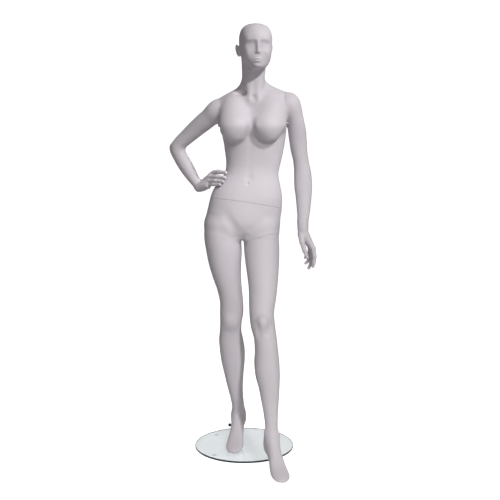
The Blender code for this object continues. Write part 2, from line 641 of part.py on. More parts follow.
upper = shell("upper_body_shell", up_out, up_in, [(WAIST_P + WAIST_N * half, WAIST_N)], material("upper_body_skin", SKIN, 0.55))
boolean(upper, seam_block("right_shoulder_seam", (-0.30, -0.20, 1.30), (-0.05, 0.20, 1.60), RSHO_P - RSHO_N * half, RSHO_N))
boolean(upper, seam_block("left_shoulder_seam", (0.10, -0.20, 1.378), (0.35, 0.20, 1.60), LSHO_P - LSHO_N * half, LSHO_N))
lower = shell("lower_body_shell", lo_out, lo_in, [(WAIST_P - WAIST_N * half, -WAIST_N)], material("lower_body_skin", SKIN, 0.55))
boolean(lower, seam_block("left_thigh_seam", (-0.0045, -0.25, 0.70), (0.25, 0.25, 1.10), HIP_P - HIP_N * half, HIP_N))
left_leg = shell("left_leg_shell", leg_out, leg_in, [(HIP_P + HIP_N * half, HIP_N)], material("left_leg_skin", SKIN, 0.55))
right_arm = shell("right_arm_shell", ra_out, ra_in, [(RSHO_P + RSHO_N * half, RSHO_N), (RWR_P - RWR_N * half, -RWR_N)],
                  material("right_arm_skin", SKIN, 0.55))
left_arm = shell("left_arm_shell", la_out, la_in, [(LSHO_P + LSHO_N * half, LSHO_N), (LWR_P - LWR_N * half, -LWR_N)],
                 material("left_arm_skin", SKIN, 0.55))


def hand(name, chains, p, n, colour_name):
    raw = fused(f"{name}_form", hand_forms(chains), 0.0022, 4, 680)
    bm = cut(raw.data, [(p + n * half, n)])
    bm.verts.index_update()
    return obj_from(nearest_body(bm, p + n * 0.06), name, parts, material(colour_name, SKIN, 0.55))


right_hand = hand("right_hand", R_HAND, RWR_P, RWR_N, "right_hand_skin")
left_hand = hand("left_hand", L_HAND, LWR_P, LWR_N, "left_hand_skin")

# -------------------------------------------------------------- end plates
PLATE = (0.50, 0.48, 0.50)


def plate(name, inner, p, n):
    return end_plate(name, inner, p, n, material(f"{name}_board", PLATE, 0.7), p)


waist_up = plate("waist_plate_upper", up_in, WAIST_P, -WAIST_N)
waist_low = plate("waist_plate_lower", lo_in, WAIST_P, WAIST_N)
rs_body = plate("right_shoulder_plate_body", up_in, RSHO_P, RSHO_N)
rs_arm = plate("right_shoulder_plate_arm", ra_in, RSHO_P, -RSHO_N)
ls_body = plate("left_shoulder_plate_body", up_in, LSHO_P, LSHO_N)
ls_arm = plate("left_shoulder_plate_arm", la_in, LSHO_P, -LSHO_N)
hip_body = plate("left_thigh_plate_body", lo_in, HIP_P, HIP_N)
hip_leg = plate("left_thigh_plate_leg", leg_in, HIP_P, -HIP_N)
rw_arm = plate("right_wrist_plate", ra_in, RWR_P, RWR_N)
lw_arm = plate("left_wrist_plate", la_in, LWR_P, LWR_N)

twist_lock("right_shoulder", RSHO_P, RSHO_N, 1.0, rs_body, rs_arm)
twist_lock("left_shoulder", LSHO_P, LSHO_N, 1.0, ls_body, ls_arm)
twist_lock("left_thigh", HIP_P, HIP_N, 1.3, hip_body, hip_leg)
twist_lock("right_wrist", RWR_P, RWR_N, 0.52, rw_arm, right_hand, nut=False)
twist_lock("left_wrist", LWR_P, LWR_N, 0.52, lw_arm, left_hand, nut=False)

# waist: a stout peg and a small key pin stand on the lower plate
PEG_R, PIN_R = 0.010, 0.004
PIN_OFF = 0.055
pin_p = WAIST_P + WAIST_N.cross(Vector((0, 1, 0))).normalized() * PIN_OFF
peg = turned("waist_peg", [(0, 0.034), (PEG_R - 0.002, 0.034), (PEG_R, 0.031), (PEG_R, -0.0008), (0.006, -0.0008), (0.006, -0.018), (0, -0.018)],
             WAIST_P, WAIST_N, material("waist_peg_steel", STEEL, 0.3, 1.0), 24)
pin = turned("waist_key_pin", [(0, 0.016), (PIN_R - 0.001, 0.016), (PIN_R, 0.0145), (PIN_R, -0.018), (0, -0.018)], pin_p, WAIST_N,
             material("waist_key_pin_steel", STEEL, 0.3, 1.0), 16)
sleeve = cylinder("waist_socket", WAIST_P, WAIST_N, 0.0074, 0.040, 0.0150, parts, material("waist_socket_steel", STEEL, 0.35, 1.0), 24, bore=PEG_R + 0.0005)
washer = cylinder("waist_peg_nut", WAIST_P, WAIST_N, -0.0134, -0.0074, 0.0140, parts, material("waist_peg_nut_steel", STEEL, 0.35, 1.0), 6, bore=0.0)
boolean(washer, cylinder("waist_nut_bore", WAIST_P, WAIST_N, -0.03, 0.0, 0.0064, cutters))
boolean(waist_up, cylinder("waist_peg_hole", WAIST_P, WAIST_N, 0.0, 0.05, PEG_R + 0.0005, cutters, segments=24))
boolean(waist_up, cylinder("waist_pin_hole", pin_p, WAIST_N, 0.0, 0.05, PIN_R + 0.0005, cutters, segments=16))
boolean(waist_low, cylinder("waist_peg_hole_low", WAIST_P, WAIST_N, -0.03, 0.0, 0.0064, cutters, segments=20))
boolean(waist_low, cylinder("waist_pin_hole_low", pin_p, WAIST_N, -0.03, 0.0, PIN_R + 0.0004, cutters, segments=16))

# -------------------------------------------------------------------- base
UP = Vector((0, 0, 1))
rod_p = Vector((ROD_XY[0], ROD_XY[1], 0))
glass = turned("glass_disc", [(0, GLASS_TOP), (DISC_R - DISC_CHAMFER, GLASS_TOP), (DISC_R, GLASS_TOP - DISC_CHAMFER),
                              (DISC_R, PAD_T + DISC_CHAMFER), (DISC_R - DISC_CHAMFER, PAD_T), (0, PAD_T)],
               Vector((0, 0, 0)), UP, material("clear_glass", (0.86, 0.93, 0.92), 0.03, 0.0, 1.0), 64)
boolean(glass, cylinder("glass_hole", rod_p, UP, -0.01, 0.03, 0.0052, cutters, segments=16))
for k in range(4):
    a = math.radians(45 + 90 * k)
    cylinder(f"glass_pad_{k + 1}", Vector((PAD_RING * math.cos(a), PAD_RING * math.sin(a), 0)), UP, 0.0, PAD_T - GAP, PAD_R,
             mat=material(f"pad_rubber_{k + 1}", (0.80, 0.82, 0.82), 0.4), segments=20)
turned("base_bolt", [(0, 0.0230), (0.0040, 0.0230), (0.0040, PAD_T - GAP), (0.0120, PAD_T - GAP), (0.0120, 0.0012), (0.0112, 0.0006), (0, 0.0006)],
       rod_p, UP, material("base_bolt_steel", STEEL, 0.3, 1.0), 20)
flange = turned("rod_flange", [(0, GLASS_TOP + FLANGE_T), (FLANGE_R - 0.0012, GLASS_TOP + FLANGE_T), (FLANGE_R, GLASS_TOP + FLANGE_T - 0.0012),
                               (FLANGE_R, GLASS_TOP + GAP), (0, GLASS_TOP + GAP)], rod_p, UP, material("rod_flange_steel", STEEL, 0.3, 1.0), 24)
boolean(flange, cylinder("flange_hole", rod_p, UP, 0.0, 0.03, 0.0044, cutters, segments=16))
rod = turned("foot_rod", [(0, ROD_TOP), (ROD_R - 0.0015, ROD_TOP), (ROD_R, ROD_TOP - 0.0015), (ROD_R, GLASS_TOP + FLANGE_T + GAP),
                          (0, GLASS_TOP + FLANGE_T + GAP)], rod_p, UP, material("foot_rod_steel", STEEL, 0.25, 1.0), 20)
boolean(rod, cylinder("rod_thread", rod_p, UP, 0.0, 0.0240, 0.0044, cutters, segments=16))
tube = cylinder("ankle_socket_tube", rod_p, UP, TUBE_Z[0], TUBE_Z[1], TUBE_R, parts, material("socket_tube_steel", STEEL, 0.35, 1.0), 24, bore=TUBE_BORE)
boolean(tube, cylinder("thumb_hole", Vector((rod_p.x, rod_p.y, THUMB_Z)), Vector((-1, 0, 0)), 0.0, 0.02, 0.0029, cutters, segments=12))
boolean(lower, cylinder("sole_hole", rod_p, UP, 0.0, 0.30, TUBE_R + GAP, cutters, segments=24))
boolean(lower, cylinder("thumb_skin_hole", Vector((rod_p.x, rod_p.y, THUMB_Z)), Vector((-1, 0, 0)), 0.0, 0.06, 0.0046, cutters, segments=16))

# thumb screw that clamps the ankle socket on the rod
thumb_p = Vector((rod_p.x - ROD_R - 0.0003, rod_p.y, THUMB_Z))
turned("thumb_screw", [(0, 0.0430), (THUMB_KNOB_R - 0.0012, 0.0430), (THUMB_KNOB_R, 0.0418), (THUMB_KNOB_R, 0.0330), (THUMB_KNOB_R - 0.001, 0.0320),
                       (0.0040, 0.0320), (0.0040, 0.0240), (0.0025, 0.0235), (0.0025, 0.0), (0, 0.0)],
       thumb_p, Vector((-1, 0, 0)), material("thumb_screw_black", (0.02, 0.02, 0.02), 0.4), 16)

# ------------------------------------------------- joint axes and assembly
base = bpy.data.objects.new("base_root", None)
parts.objects.link(base)
pivots = {}
for label, p, n, parent in (
        ("figure_root", rod_p, UP, None), ("upper_body_root", WAIST_P, WAIST_N, "figure_root"),
        ("right_arm_pivot", RSHO_P, RSHO_N, "upper_body_root"), ("left_arm_pivot", LSHO_P, LSHO_N, "upper_body_root"),
        ("left_leg_pivot", HIP_P, HIP_N, "figure_root"), ("right_hand_pivot", RWR_P, RWR_N, "right_arm_pivot"),
        ("left_hand_pivot", LWR_P, LWR_N, "left_arm_pivot"), ("thumb_screw_pivot", thumb_p, Vector((-1, 0, 0)), "figure_root")):
    e = bpy.data.objects.new(label, None)
    parts.objects.link(e)
    e.empty_display_size = 0.03
    world = Matrix.Translation(p) @ across(n)
    mother = pivots.get(parent, (base, Matrix.Identity(4)))
    e.parent = mother[0]
    e.matrix_parent_inverse = Matrix.Identity(4)
    e.matrix_basis = mother[1].inverted() @ world
    pivots[label] = (e, world)

OWNERS = {
    "base_root": ["glass_disc", "glass_pad_1", "glass_pad_2", "glass_pad_3", "glass_pad_4", "base_bolt", "rod_flange", "foot_rod"],
    "figure_root": ["lower_body_shell", "ankle_socket_tube", "waist_plate_lower", "waist_peg", "waist_peg_nut", "waist_key_pin",
                    "left_thigh_plate_body", "left_thigh_lock_disc"],
    "upper_body_root": ["upper_body_shell", "waist_plate_upper", "waist_socket", "right_shoulder_plate_body", "right_shoulder_lock_disc",
                        "left_shoulder_plate_body", "left_shoulder_lock_disc"],
    "right_arm_pivot": ["right_arm_shell", "right_shoulder_plate_arm", "right_shoulder_stud", "right_shoulder_nut", "right_wrist_plate",
                        "right_wrist_lock_disc"],
    "left_arm_pivot": ["left_arm_shell", "left_shoulder_plate_arm", "left_shoulder_stud", "left_shoulder_nut", "left_wrist_plate",
                       "left_wrist_lock_disc"],
    "left_leg_pivot": ["left_leg_shell", "left_thigh_plate_leg", "left_thigh_stud", "left_thigh_nut"],
    "right_hand_pivot": ["right_hand", "right_wrist_stud"],
    "left_hand_pivot": ["left_hand", "left_wrist_stud"],
    "thumb_screw_pivot": ["thumb_screw"],
}
for owner, names in OWNERS.items():
    mother, world = pivots.get(owner, (base, Matrix.Identity(4)))
    for n in names:
        o = bpy.data.objects[n]
        place = o.matrix_basis.copy()
        o.parent = mother
        o.matrix_parent_inverse = world.inverted()
        o.matrix_basis = place
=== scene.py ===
"""Looks of the full-body shop mannequin: smooth painted glass-fibre skins cut at
their dressing seams, steel fittings, a round clear glass base, plain stage."""

import math

import bmesh
import bpy
import numpy as np
from mathutils import Matrix, Vector


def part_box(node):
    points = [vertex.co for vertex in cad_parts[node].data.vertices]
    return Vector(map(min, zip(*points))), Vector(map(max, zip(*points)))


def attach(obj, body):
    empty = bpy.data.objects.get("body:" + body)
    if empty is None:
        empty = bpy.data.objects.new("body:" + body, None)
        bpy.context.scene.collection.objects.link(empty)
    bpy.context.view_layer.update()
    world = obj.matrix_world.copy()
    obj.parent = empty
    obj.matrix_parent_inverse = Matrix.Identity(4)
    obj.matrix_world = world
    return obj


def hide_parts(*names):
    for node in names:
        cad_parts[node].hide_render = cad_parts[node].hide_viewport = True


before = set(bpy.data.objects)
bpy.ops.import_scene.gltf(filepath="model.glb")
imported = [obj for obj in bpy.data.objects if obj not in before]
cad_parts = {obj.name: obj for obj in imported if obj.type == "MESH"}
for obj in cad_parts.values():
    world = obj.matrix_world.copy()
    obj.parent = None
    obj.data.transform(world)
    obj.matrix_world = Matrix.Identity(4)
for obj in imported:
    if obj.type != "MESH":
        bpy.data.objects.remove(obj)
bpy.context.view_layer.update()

# --- figure
# The figure is one smooth signed-distance field in metres: negative inside.
V = lambda *a: np.array(a, float)


def unit(v):
    v = np.asarray(v, float)
    return v / np.linalg.norm(v)


def smin(a, b, k):
    h = np.maximum(k - np.abs(a - b), 0.0) / k
    return np.minimum(a, b) - h * h * k * 0.25


def smax(a, b, k):
    return -smin(-a, -b, k)


def ramp(x, a, b):
    t = np.clip((x - a) / (b - a), 0, 1)
    return t * t * (3 - 2 * t)


def hermite(t, knots, vals):
    x, y = np.asarray(knots, float), np.asarray(vals, float)
    h = np.diff(x)
    d = np.diff(y) / h
    m = np.empty_like(y)
    m[1:-1] = (h[1:] * d[:-1] + h[:-1] * d[1:]) / (h[1:] + h[:-1])
    m[0], m[-1] = d[0], d[-1]
    t = np.clip(t, x[0], x[-1])
    i = np.clip(np.searchsorted(x, t) - 1, 0, len(x) - 2)
    s = (t - x[i]) / h[i]
    s2, s3 = s * s, s * s * s
    return ((2 * s3 - 3 * s2 + 1) * y[i] + (s3 - 2 * s2 + s) * h[i] * m[i]
            + (-2 * s3 + 3 * s2) * y[i + 1] + (s3 - s2) * h[i] * m[i + 1])


class Loft:
    """Rounded sections strung along w. Station: level, u from, u to, v from, v to, roundness."""

    def __init__(self, stations, origin=(0, 0, 0), w=(0, 0, 1), u=(1, 0, 0), cap=0.03, samples=600):
        s = np.array(sorted(stations), float)
        self.w = unit(w)
        u = np.asarray(u, float)
        self.u = unit(u - self.w * u.dot(self.w))
        self.v = np.cross(self.w, self.u)
        self.o = np.asarray(origin, float)
        self.t = np.linspace(s[0, 0], s[-1, 0], samples)
        self.tab = [hermite(self.t, s[:, 0], s[:, j]) for j in range(1, 6)]
        self.lo, self.hi, self.cap = s[0, 0], s[-1, 0], cap

    def __call__(self, p):
        q = p - self.o
        w, u, v = q @ self.w, q @ self.u, q @ self.v
        wc = np.clip(w, self.lo, self.hi)
        f = (wc - self.lo) / (self.hi - self.lo) * (len(self.t) - 1)
        i = np.minimum(f.astype(int), len(self.t) - 2)
        f = f - i
        u0, u1, v0, v1, n = (a[i] * (1 - f) + a[i + 1] * f for a in self.tab)
        ru, rv = (u1 - u0) / 2, (v1 - v0) / 2
        du, dv = u - (u0 + u1) / 2, v - (v0 + v1) / 2
        r = np.sqrt(du * du + dv * dv) + 1e-9
        rho = (np.abs(du / ru) ** n + np.abs(dv / rv) ** n) ** (1 / n) + 1e-9
        d = r - r / rho
        out = np.maximum(np.abs(w - (self.lo + self.hi) / 2) - (self.hi - self.lo) / 2, -1)
        return smax(d, out, self.cap)


class Ell:
    def __init__(self, c, r, axes=None):
        self.c, self.r = np.asarray(c, float), np.asarray(r, float)
        self.m = np.eye(3) if axes is None else axes

    def __call__(self, p):
        q = (p - self.c) @ self.m.T
        k0 = np.linalg.norm(q / self.r, axis=-1) + 1e-9
        k1 = np.linalg.norm(q / self.r ** 2, axis=-1) + 1e-9
        return k0 * (k0 - 1) / k1


class Cone:
    """Round cone from a to b."""

    def __init__(self, a, b, ra, rb):
        self.a, self.b, self.ra, self.rb = np.asarray(a, float), np.asarray(b, float), ra, rb

    def __call__(self, p):
        ba = self.b - self.a
        h = np.clip((p - self.a) @ ba / ba.dot(ba), 0, 1)
        q = p - self.a - h[..., None] * ba
        return np.sqrt((q * q).sum(-1)) - (self.ra + (self.rb - self.ra) * h)


def rot(axis, deg):
    a, t = unit(axis), np.radians(deg)
    K = np.array([[0, -a[2], a[1]], [a[2], 0, -a[0]], [-a[1], a[0], 0]])
    return np.eye(3) + np.sin(t) * K + (1 - np.cos(t)) * K @ K


# ------------------------------------------------------------------- head
YAW = np.radians(6.5)
HC = V(.0452, -.008, 0)
HR = V(np.cos(YAW), np.sin(YAW), 0)           # toward the figure's left
HB = V(-np.sin(YAW), np.cos(YAW), 0)          # toward the back
HEAD_ROT = np.array([HR, HB, V(0, 0, 1)])
LEAN = .022


def hp(u, v, z):
    return HC + HR * u + HB * v + V(LEAN * (z - 1.60), 0, z)


def turned_axes(yaw=0.0, roll=0.0):
    m = HEAD_ROT
    if yaw:
        m = (rot((0, 0, 1), yaw) @ m.T).T
    if roll:
        m = (rot(HB, roll) @ m.T).T
    return m


HEAD = [
    (1.5860, -.015, .023, -.068, .000, 2.1),
    (1.5960, -.0275, .0360, -.0775, .022, 2.1),
    (1.6080, -.0385, .0470, -.0805, .046, 2.15),
    (1.6240, -.0490, .0550, -.0815, .066, 2.2),
    (1.6400, -.0555, .0595, -.0820, .079, 2.2),
    (1.6560, -.0600, .0625, -.0825, .087, 2.2),
    (1.6720, -.0640, .0640, -.0832, .092, 2.2),
    (1.6880, -.0657, .0657, -.0846, .0945, 2.2),
    (1.7040, -.0665, .0665, -.0852, .0950, 2.2),
    (1.7200, -.0660, .0660, -.0835, .0935, 2.15),
    (1.7340, -.0632, .0632, -.0785, .0885, 2.1),
    (1.7460, -.0585, .0590, -.0705, .0810, 2.1),
    (1.7560, -.0510, .0520, -.0600, .0700, 2.1),
    (1.7645, -.0400, .0410, -.0465, .0560, 2.0),
    (1.7700, -.0240, .0240, -.0300, .0380, 2.0),
    (1.7724, -.0060, .0060, -.0100, .0160, 2.0),
]
HEAD_LOFT = Loft(HEAD, origin=HC - V(LEAN * 1.60, 0, 0), u=HR, w=V(LEAN, 0, 1), cap=.003)


def bell(x, w):
    return np.exp(-(x / w) ** 2)


def face_relief(u, z):
    """How far the face stands out of the plain head, in metres: an abstract face with no eyes."""
    a = np.abs(u)
    brow = 1.7012 - ((a - .022) / .024) ** 2 * .0052
    under = brow - z
    r = -.0040 * ramp(under, -.0060, .0120) * (1 - ramp(under, .014, .050)) * ramp(a, .0030, .0160) * (1 - ramp(a, .036, .058))
    r = r + .0006 * bell(z - brow - .0050, .0080) * (1 - ramp(a, .040, .060))
    tall = hermite(z, [1.6465, 1.6495, 1.6525, 1.6560, 1.6600, 1.6700, 1.6850, 1.6970, 1.7080, 1.7220],
                   [0, .0014, .0052, .0088, .0096, .0080, .0052, .0030, .0010, 0])
    wide = hermite(z, [1.647, 1.6560, 1.6650, 1.6800, 1.6980, 1.7120], [.0080, .0074, .0068, .0062, .0076, .0140])
    r = r + tall * np.exp(-(a / wide) ** 2.1)
    r = r + .0016 * bell(a - .0076, .0040) * bell(z - 1.6545, .0050)
    r = r + .0030 * bell(u, .0210) * bell(z - 1.6255, .0160)
    lip = np.clip(1 - (a / .0170) ** 2, 0, 1)
    r = r + .0019 * lip * bell(z - 1.6300 + .05 * a, .0032)
    r = r + .0024 * np.clip(1 - (a / .0150) ** 2, 0, 1) * bell(z - 1.6204 - 7 * a * a, .0038)
    r = r - .0015 * lip * bell(z - 1.6256 + 2 * a * a, .0014)
    r = r - .0020 * bell(u, .0170) * bell(z - 1.6112, .0052)
    r = r + .0034 * bell(u, .0175) * bell(z - 1.6005, .0120)
    r = r + .0092 * bell(a - .0450, .0170) * bell(z - 1.6520, .0370)
    return r + .0030 * bell(a - .0450, .0160) * bell(z - 1.7150, .0200)


def head(p):
    z = p[..., 2]
    q = p - HC
    q = q - (LEAN * (z - 1.60))[..., None] * V(1, 0, 0)
    u, v = q @ HR, q @ HB
    d = HEAD_LOFT(p) - face_relief(u, z) * ramp(-v, .010, .040)
    # slanted underside of the jaw
    n = unit(HB * -.36 + V(0, 0, -1.0))
    d = smax(d, (p - hp(0, -.076, 1.5885)) @ n, .018)
    for s in (-1, 1):
        ax = turned_axes(yaw=s * -20, roll=s * 13)
        c = hp(-.0690 if s < 0 else .0650, .0270, 1.6655)
        e = Ell(c, (.0052, .0165, .0248), ax)(p)
        conch = Ell(c + ax[0] * s * .0060 + ax[1] * -.002 + V(0, 0, .003), (.0050, .0105, .0165), ax)(p)
        e = smax(e, -conch, .003)
        e = smin(e, Ell(c - HR * s * .010 - HB * .006 + V(0, 0, -.002), (.0085, .0110, .0180), ax)(p), .006)
        d = smin(d, e, .005)
    return d


NECK = [
    (0.000, -.0530, .0470, -.048, .052, 2.0),
    (0.030, -.0515, .0460, -.048, .050, 2.0),
    (0.060, -.0495, .0445, -.047, .048, 2.0),
    (0.090, -.0465, .0430, -.046, .046, 2.0),
    (0.130, -.0435, .0425, -.046, .044, 2.0),
    (0.180, -.0420, .0420, -.046, .044, 2.0),
]
NECK_LOFT = Loft(NECK, origin=V(.0385, .030, 1.47), w=V(-.003, -.17, 1), cap=.01)


def neck(p):
    d = NECK_LOFT(p)
    for top, bot in ((hp(-.036, .020, 1.625), V(.0265, -.033, 1.4740)), (hp(.036, .020, 1.625), V(.0525, -.033, 1.4760))):
        d = smin(d, Cone(top, bot, .0085, .0065)(p), .028)
    return d


# ------------------------------------------------------------------ trunk
TRUNK = [
    (0.915, -.1150, .0980, -.046, .070, 2.3),
    (0.940, -.1450, .1260, -.067, .095, 2.3),
    (0.960, -.1565, .1410, -.0775, .105, 2.3),
    (0.978, -.1587, .1485, -.0815, .1075, 2.3),
    (0.998, -.1560, .153, -.0835, .106, 2.3),
    (1.023, -.1500, .156, -.0850, .101, 2.3),
    (1.048, -.1450, .157, -.0855, .094, 2.3),
    (1.073, -.1385, .157, -.0845, .086, 2.3),
    (1.097, -.1300, .154, -.0820, .078, 2.25),
    (1.122, -.1155, .149, -.0780, .0715, 2.25),
    (1.147, -.0960, .1435, -.0730, .0665, 2.25),
    (1.172, -.0795, .1415, -.0690, .0655, 2.25),
    (1.196, -.0740, .1465, -.0670, .0690, 2.25),
    (1.221, -.0735, .1525, -.0675, .0755, 2.3),
    (1.245, -.0762, .158, -.069, .083, 2.3),
    (1.270, -.0798, .163, -.071, .090, 2.35),
    (1.294, -.0830, .167, -.073, .096, 2.4),
    (1.320, -.0885, .171, -.074, .101, 2.4),
    (1.345, -.0905, .1735, -.073, .104, 2.4),
    (1.375, -.0890, .1730, -.069, .104, 2.4),
    (1.405, -.0850, .1670, -.062, .098, 2.4),
    (1.435, -.0740, .1540, -.052, .086, 2.3),
    (1.460, -.0520, .1290, -.042, .070, 2.2),
    (1.480, -.0200, .0950, -.030, .054, 2.1),
]
TRUNK_LOFT = Loft(TRUNK, cap=.03)


def trunk(p):
    z = p[..., 2]
    d = TRUNK_LOFT(p)
    # shoulder girdle, neck to shoulder points
    d = smin(d, Cone(V(.012, .036, 1.503), V(-.098, .014, 1.4350), .029, .0375)(p), .035)
    d = smin(d, Cone(V(.066, .036, 1.514), V(.172, .016, 1.4580), .0305, .0390)(p), .035)
    # the back of the shoulders
    d = smin(d, Cone(V(.014, .050, 1.468), V(-.082, .040, 1.414), .030, .033)(p), .035)
    d = smin(d, Cone(V(.064, .050, 1.476), V(.154, .042, 1.434), .030, .033)(p), .035)
    d = smin(d, neck(p), .034)
    # shoulder blades and spine
    for x, zz in ((-.035, 1.395), (.115, 1.405)):
        d = smin(d, Ell(V(x, .078, zz), (.045, .026, .062))(p), .035)
    d = smax(d, -Cone(V(.036, .118, 1.42), V(.022, .094, 1.10), .013, .012)(p), .032)
    # front of the shoulders
    d = smin(d, Ell(V(-.052, -.032, 1.405), (.044, .033, .054))(p), .034)
    d = smin(d, Ell(V(.128, -.032, 1.410), (.044, .033, .054))(p), .034)
    # bust: long soft upper slope, a crease only underneath
    for x, zz in ((-.0345, 1.456), (.0965, 1.460)):
        d = smin(d, Cone(V(x, -.046, 1.368), V(x + (x - .031) * .10, -.010, zz), .043, .028)(p), .045)
    w = ramp(z, 1.320, 1.372)
    for c, kr in ((V(-.0385, -.0680, 1.3490), .014), (V(.0960, -.0700, 1.3495), .008)):
        b = Ell(c, (.0530, .0445, .0515))(p)
        d = smin(d, b, kr) * (1 - w) + smin(d, b, .060) * w
    # collar bones
    d = smax(d, -Ell(V(-.0120, -.0130, 1.4925), (.018, .009, .005))(p), .020)
    d = smin(d, Cone(V(.056, -.0315, 1.4745), V(.150, -.008, 1.4860), .0058, .0050)(p), .014)
    d = smin(d, Cone(V(.020, -.0315, 1.4730), V(-.077, -.008, 1.4620), .0058, .0050)(p), .014)
    # hollow above the breast bone, groove down the middle, navel
    d = smax(d, -Ell(V(.0390, -.0560, 1.4800), (.0040, .0100, .0070))(p), .020)
    d = smax(d, -Cone(V(.031, -.0975, 1.400), V(.0205, -.0880, 1.160), .0065, .0095)(p), .022)
    d = smax(d, -Ell(V(.0155, -.0820, 1.1350), (.0044, .0110, .0060))(p), .005)
    return d


# ------------------------------------------------------------------- legs
RLEG = [
    (0.100, -.0520, .0030, .018, .078, 2.1),
    (0.135, -.0528, .0015, .012, .076, 2.1),
    (0.170, -.0536, -.0002, .006, .072, 2.1),
    (0.215, -.0620, -.0046, -.002, .070, 2.15),
    (0.270, -.0755, -.0053, -.012, .073, 2.2),
    (0.325, -.0878, -.0018, -.021, .080, 2.2),
    (0.380, -.0994, .0026, -.029, .086, 2.25),
    (0.425, -.1043, .0021, -.034, .086, 2.25),
    (0.465, -.1068, -.0042, -.038, .078, 2.25),
    (0.510, -.1026, -.0120, -.045, .062, 2.3),
    (0.545, -.1013, -.0102, -.052, .057, 2.3),
    (0.585, -.1017, -.0040, -.056, .058, 2.3),
    (0.630, -.1017, -.0039, -.060, .062, 2.25),
    (0.680, -.1119, -.0086, -.066, .068, 2.2),
    (0.735, -.1304, -.0125, -.073, .074, 2.2),
    (0.790, -.1465, -.0124, -.078, .080, 2.2),
    (0.850, -.1582, -.0098, -.081, .088, 2.2),
    (0.900, -.1655, -.0140, -.080, .096, 2.2),
    (0.935, -.1650, -.0175, -.0785, .1010, 2.2),
    (0.970, -.1545, -.0290, -.0710, .0980, 2.2),
    (1.005, -.1280, -.0450, -.0500, .0780, 2.1),
]
LLEG = [
    (0.110, .0880, .1405, -.291, -.233, 2.1),
    (0.143, .0860, .1377, -.284, -.226, 2.1),
    (0.175, .0848, .1366, -.273, -.213, 2.1),
    (0.216, .0795, .1372, -.261, -.196, 2.15),
    (0.266, .0701, .1408, -.249, -.177, 2.2),
    (0.315, .0599, .1439, -.241, -.154, 2.2),
    (0.364, .0465, .1460, -.232, -.129, 2.25),
    (0.413, .0414, .1442, -.222, -.108, 2.25),
    (0.463, .0436, .1390, -.210, -.096, 2.25),
    (0.511, .0400, .1336, -.196, -.090, 2.3),
    (0.555, .0282, .1276, -.184, -.078, 2.3),
    (0.609, .0215, .1232, -.167, -.053, 2.3),
    (0.657, .0201, .1309, -.150, -.028, 2.25),
    (0.705, .0184, .1372, -.134, .001, 2.2),
    (0.753, .0125, .1418, -.117, .030, 2.2),
    (0.800, .0056, .1451, -.102, .056, 2.2),
    (0.850, .0002, .1463, -.090, .078, 2.2),
    (0.900, .0000, .1445, -.082, .094, 2.2),
    (0.935, .0070, .1430, -.0790, .0990, 2.2),
    (0.970, .0200, .1350, -.0720, .0940, 2.2),
    (1.005, .0400, .1120, -.0500, .0740, 2.1),
]
FOOT = [
    (.000, -.010, .010, .072, .112, 2.0),
    (.008, -.0185, .0185, .0630, .128, 2.1),
    (.026, -.0255, .0255, .0565, .150, 2.2),
    (.055, -.0265, .0260, .0530, .160, 2.2),
    (.085, -.0265, .0265, .0400, .142, 2.2),
    (.115, -.0285, .0285, .0225, .106, 2.2),
    (.147, -.0340, .0330, .0125, .069, 2.3),
    (.174, -.0362, .0345, .0110, .0485, 2.3),
    (.198, -.0338, .0315, .0110, .0365, 2.2),
    (.214, -.0260, .0220, .0115, .0285, 2.1),
    (.2245, -.0130, .0100, .0130, .0215, 2.0),
]
RH, RT = V(-.0160, .104, 0), V(-.0465, -.112, 0)
LH, LT = V(.0965, -.206, -.007), V(.1560, -.4225, -.007)
RLEG_LOFT, LLEG_LOFT = Loft(RLEG, cap=.02), Loft(LLEG, cap=.02)
RFOOT_LOFT = Loft([(w, -b, -a, z0, z1, n) for w, a, b, z0, z1, n in FOOT], origin=RH, w=RT - RH, u=V(1, -.2, 0), cap=.006)
LFOOT_LOFT = Loft(FOOT, origin=LH, w=LT - LH, u=V(1, .26, 0), cap=.006)


def rleg(p):
    d = smin(RLEG_LOFT(p), RFOOT_LOFT(p), .024)
    d = smin(d, Ell(V(-.054, -.040, .556), (.024, .0185, .029))(p), .022)
    for c in (V(-.0455, .050, .130), V(-.0060, .046, .137)):
        d = smin(d, Ell(c, (.006, .010, .012))(p), .014)
    return d


def lleg(p):
    d = smin(LLEG_LOFT(p), LFOOT_LOFT(p), .024)
    d = smin(d, Ell(V(.0765, -.1720, .578), (.0225, .0190, .029))(p), .020)
    d = smax(d, -Cone(V(.0480, -.1900, .575), V(.0560, -.1980, .532), .006, .006)(p), .020)
    d = smax(d, -Cone(V(.1070, -.1880, .580), V(.1000, -.1960, .540), .005, .005)(p), .018)
    for c in (V(.0900, -.258, .150), V(.1365, -.260, .142)):
        d = smin(d, Ell(c, (.006, .010, .012))(p), .014)
    return d


def body(p):
    """Trunk, head, seat and both legs."""
    d = trunk(p)
    d = smin(d, smin(rleg(p), lleg(p), .006), .035)
    for c in (V(-.078, .058, .945), V(.070, .058, .940)):
        d = smin(d, Ell(c, (.075, .070, .072))(p), .028)
    d = smin(d, Ell(V(-.002, -.036, .972), (.060, .030, .050))(p), .055)
    d = smax(d, -Cone(V(-.078, -.101, 1.010), V(-.030, -.098, .935), .006, .006)(p), .030)
    d = smax(d, -Cone(V(.092, -.101, .998), V(.030, -.099, .945), .005, .005)(p), .028)
    d = smax(d, -Cone(V(-.004, .150, .990), V(-.007, .110, .890), .010, .008)(p), .03)
    return smin(d, head(p), .012)


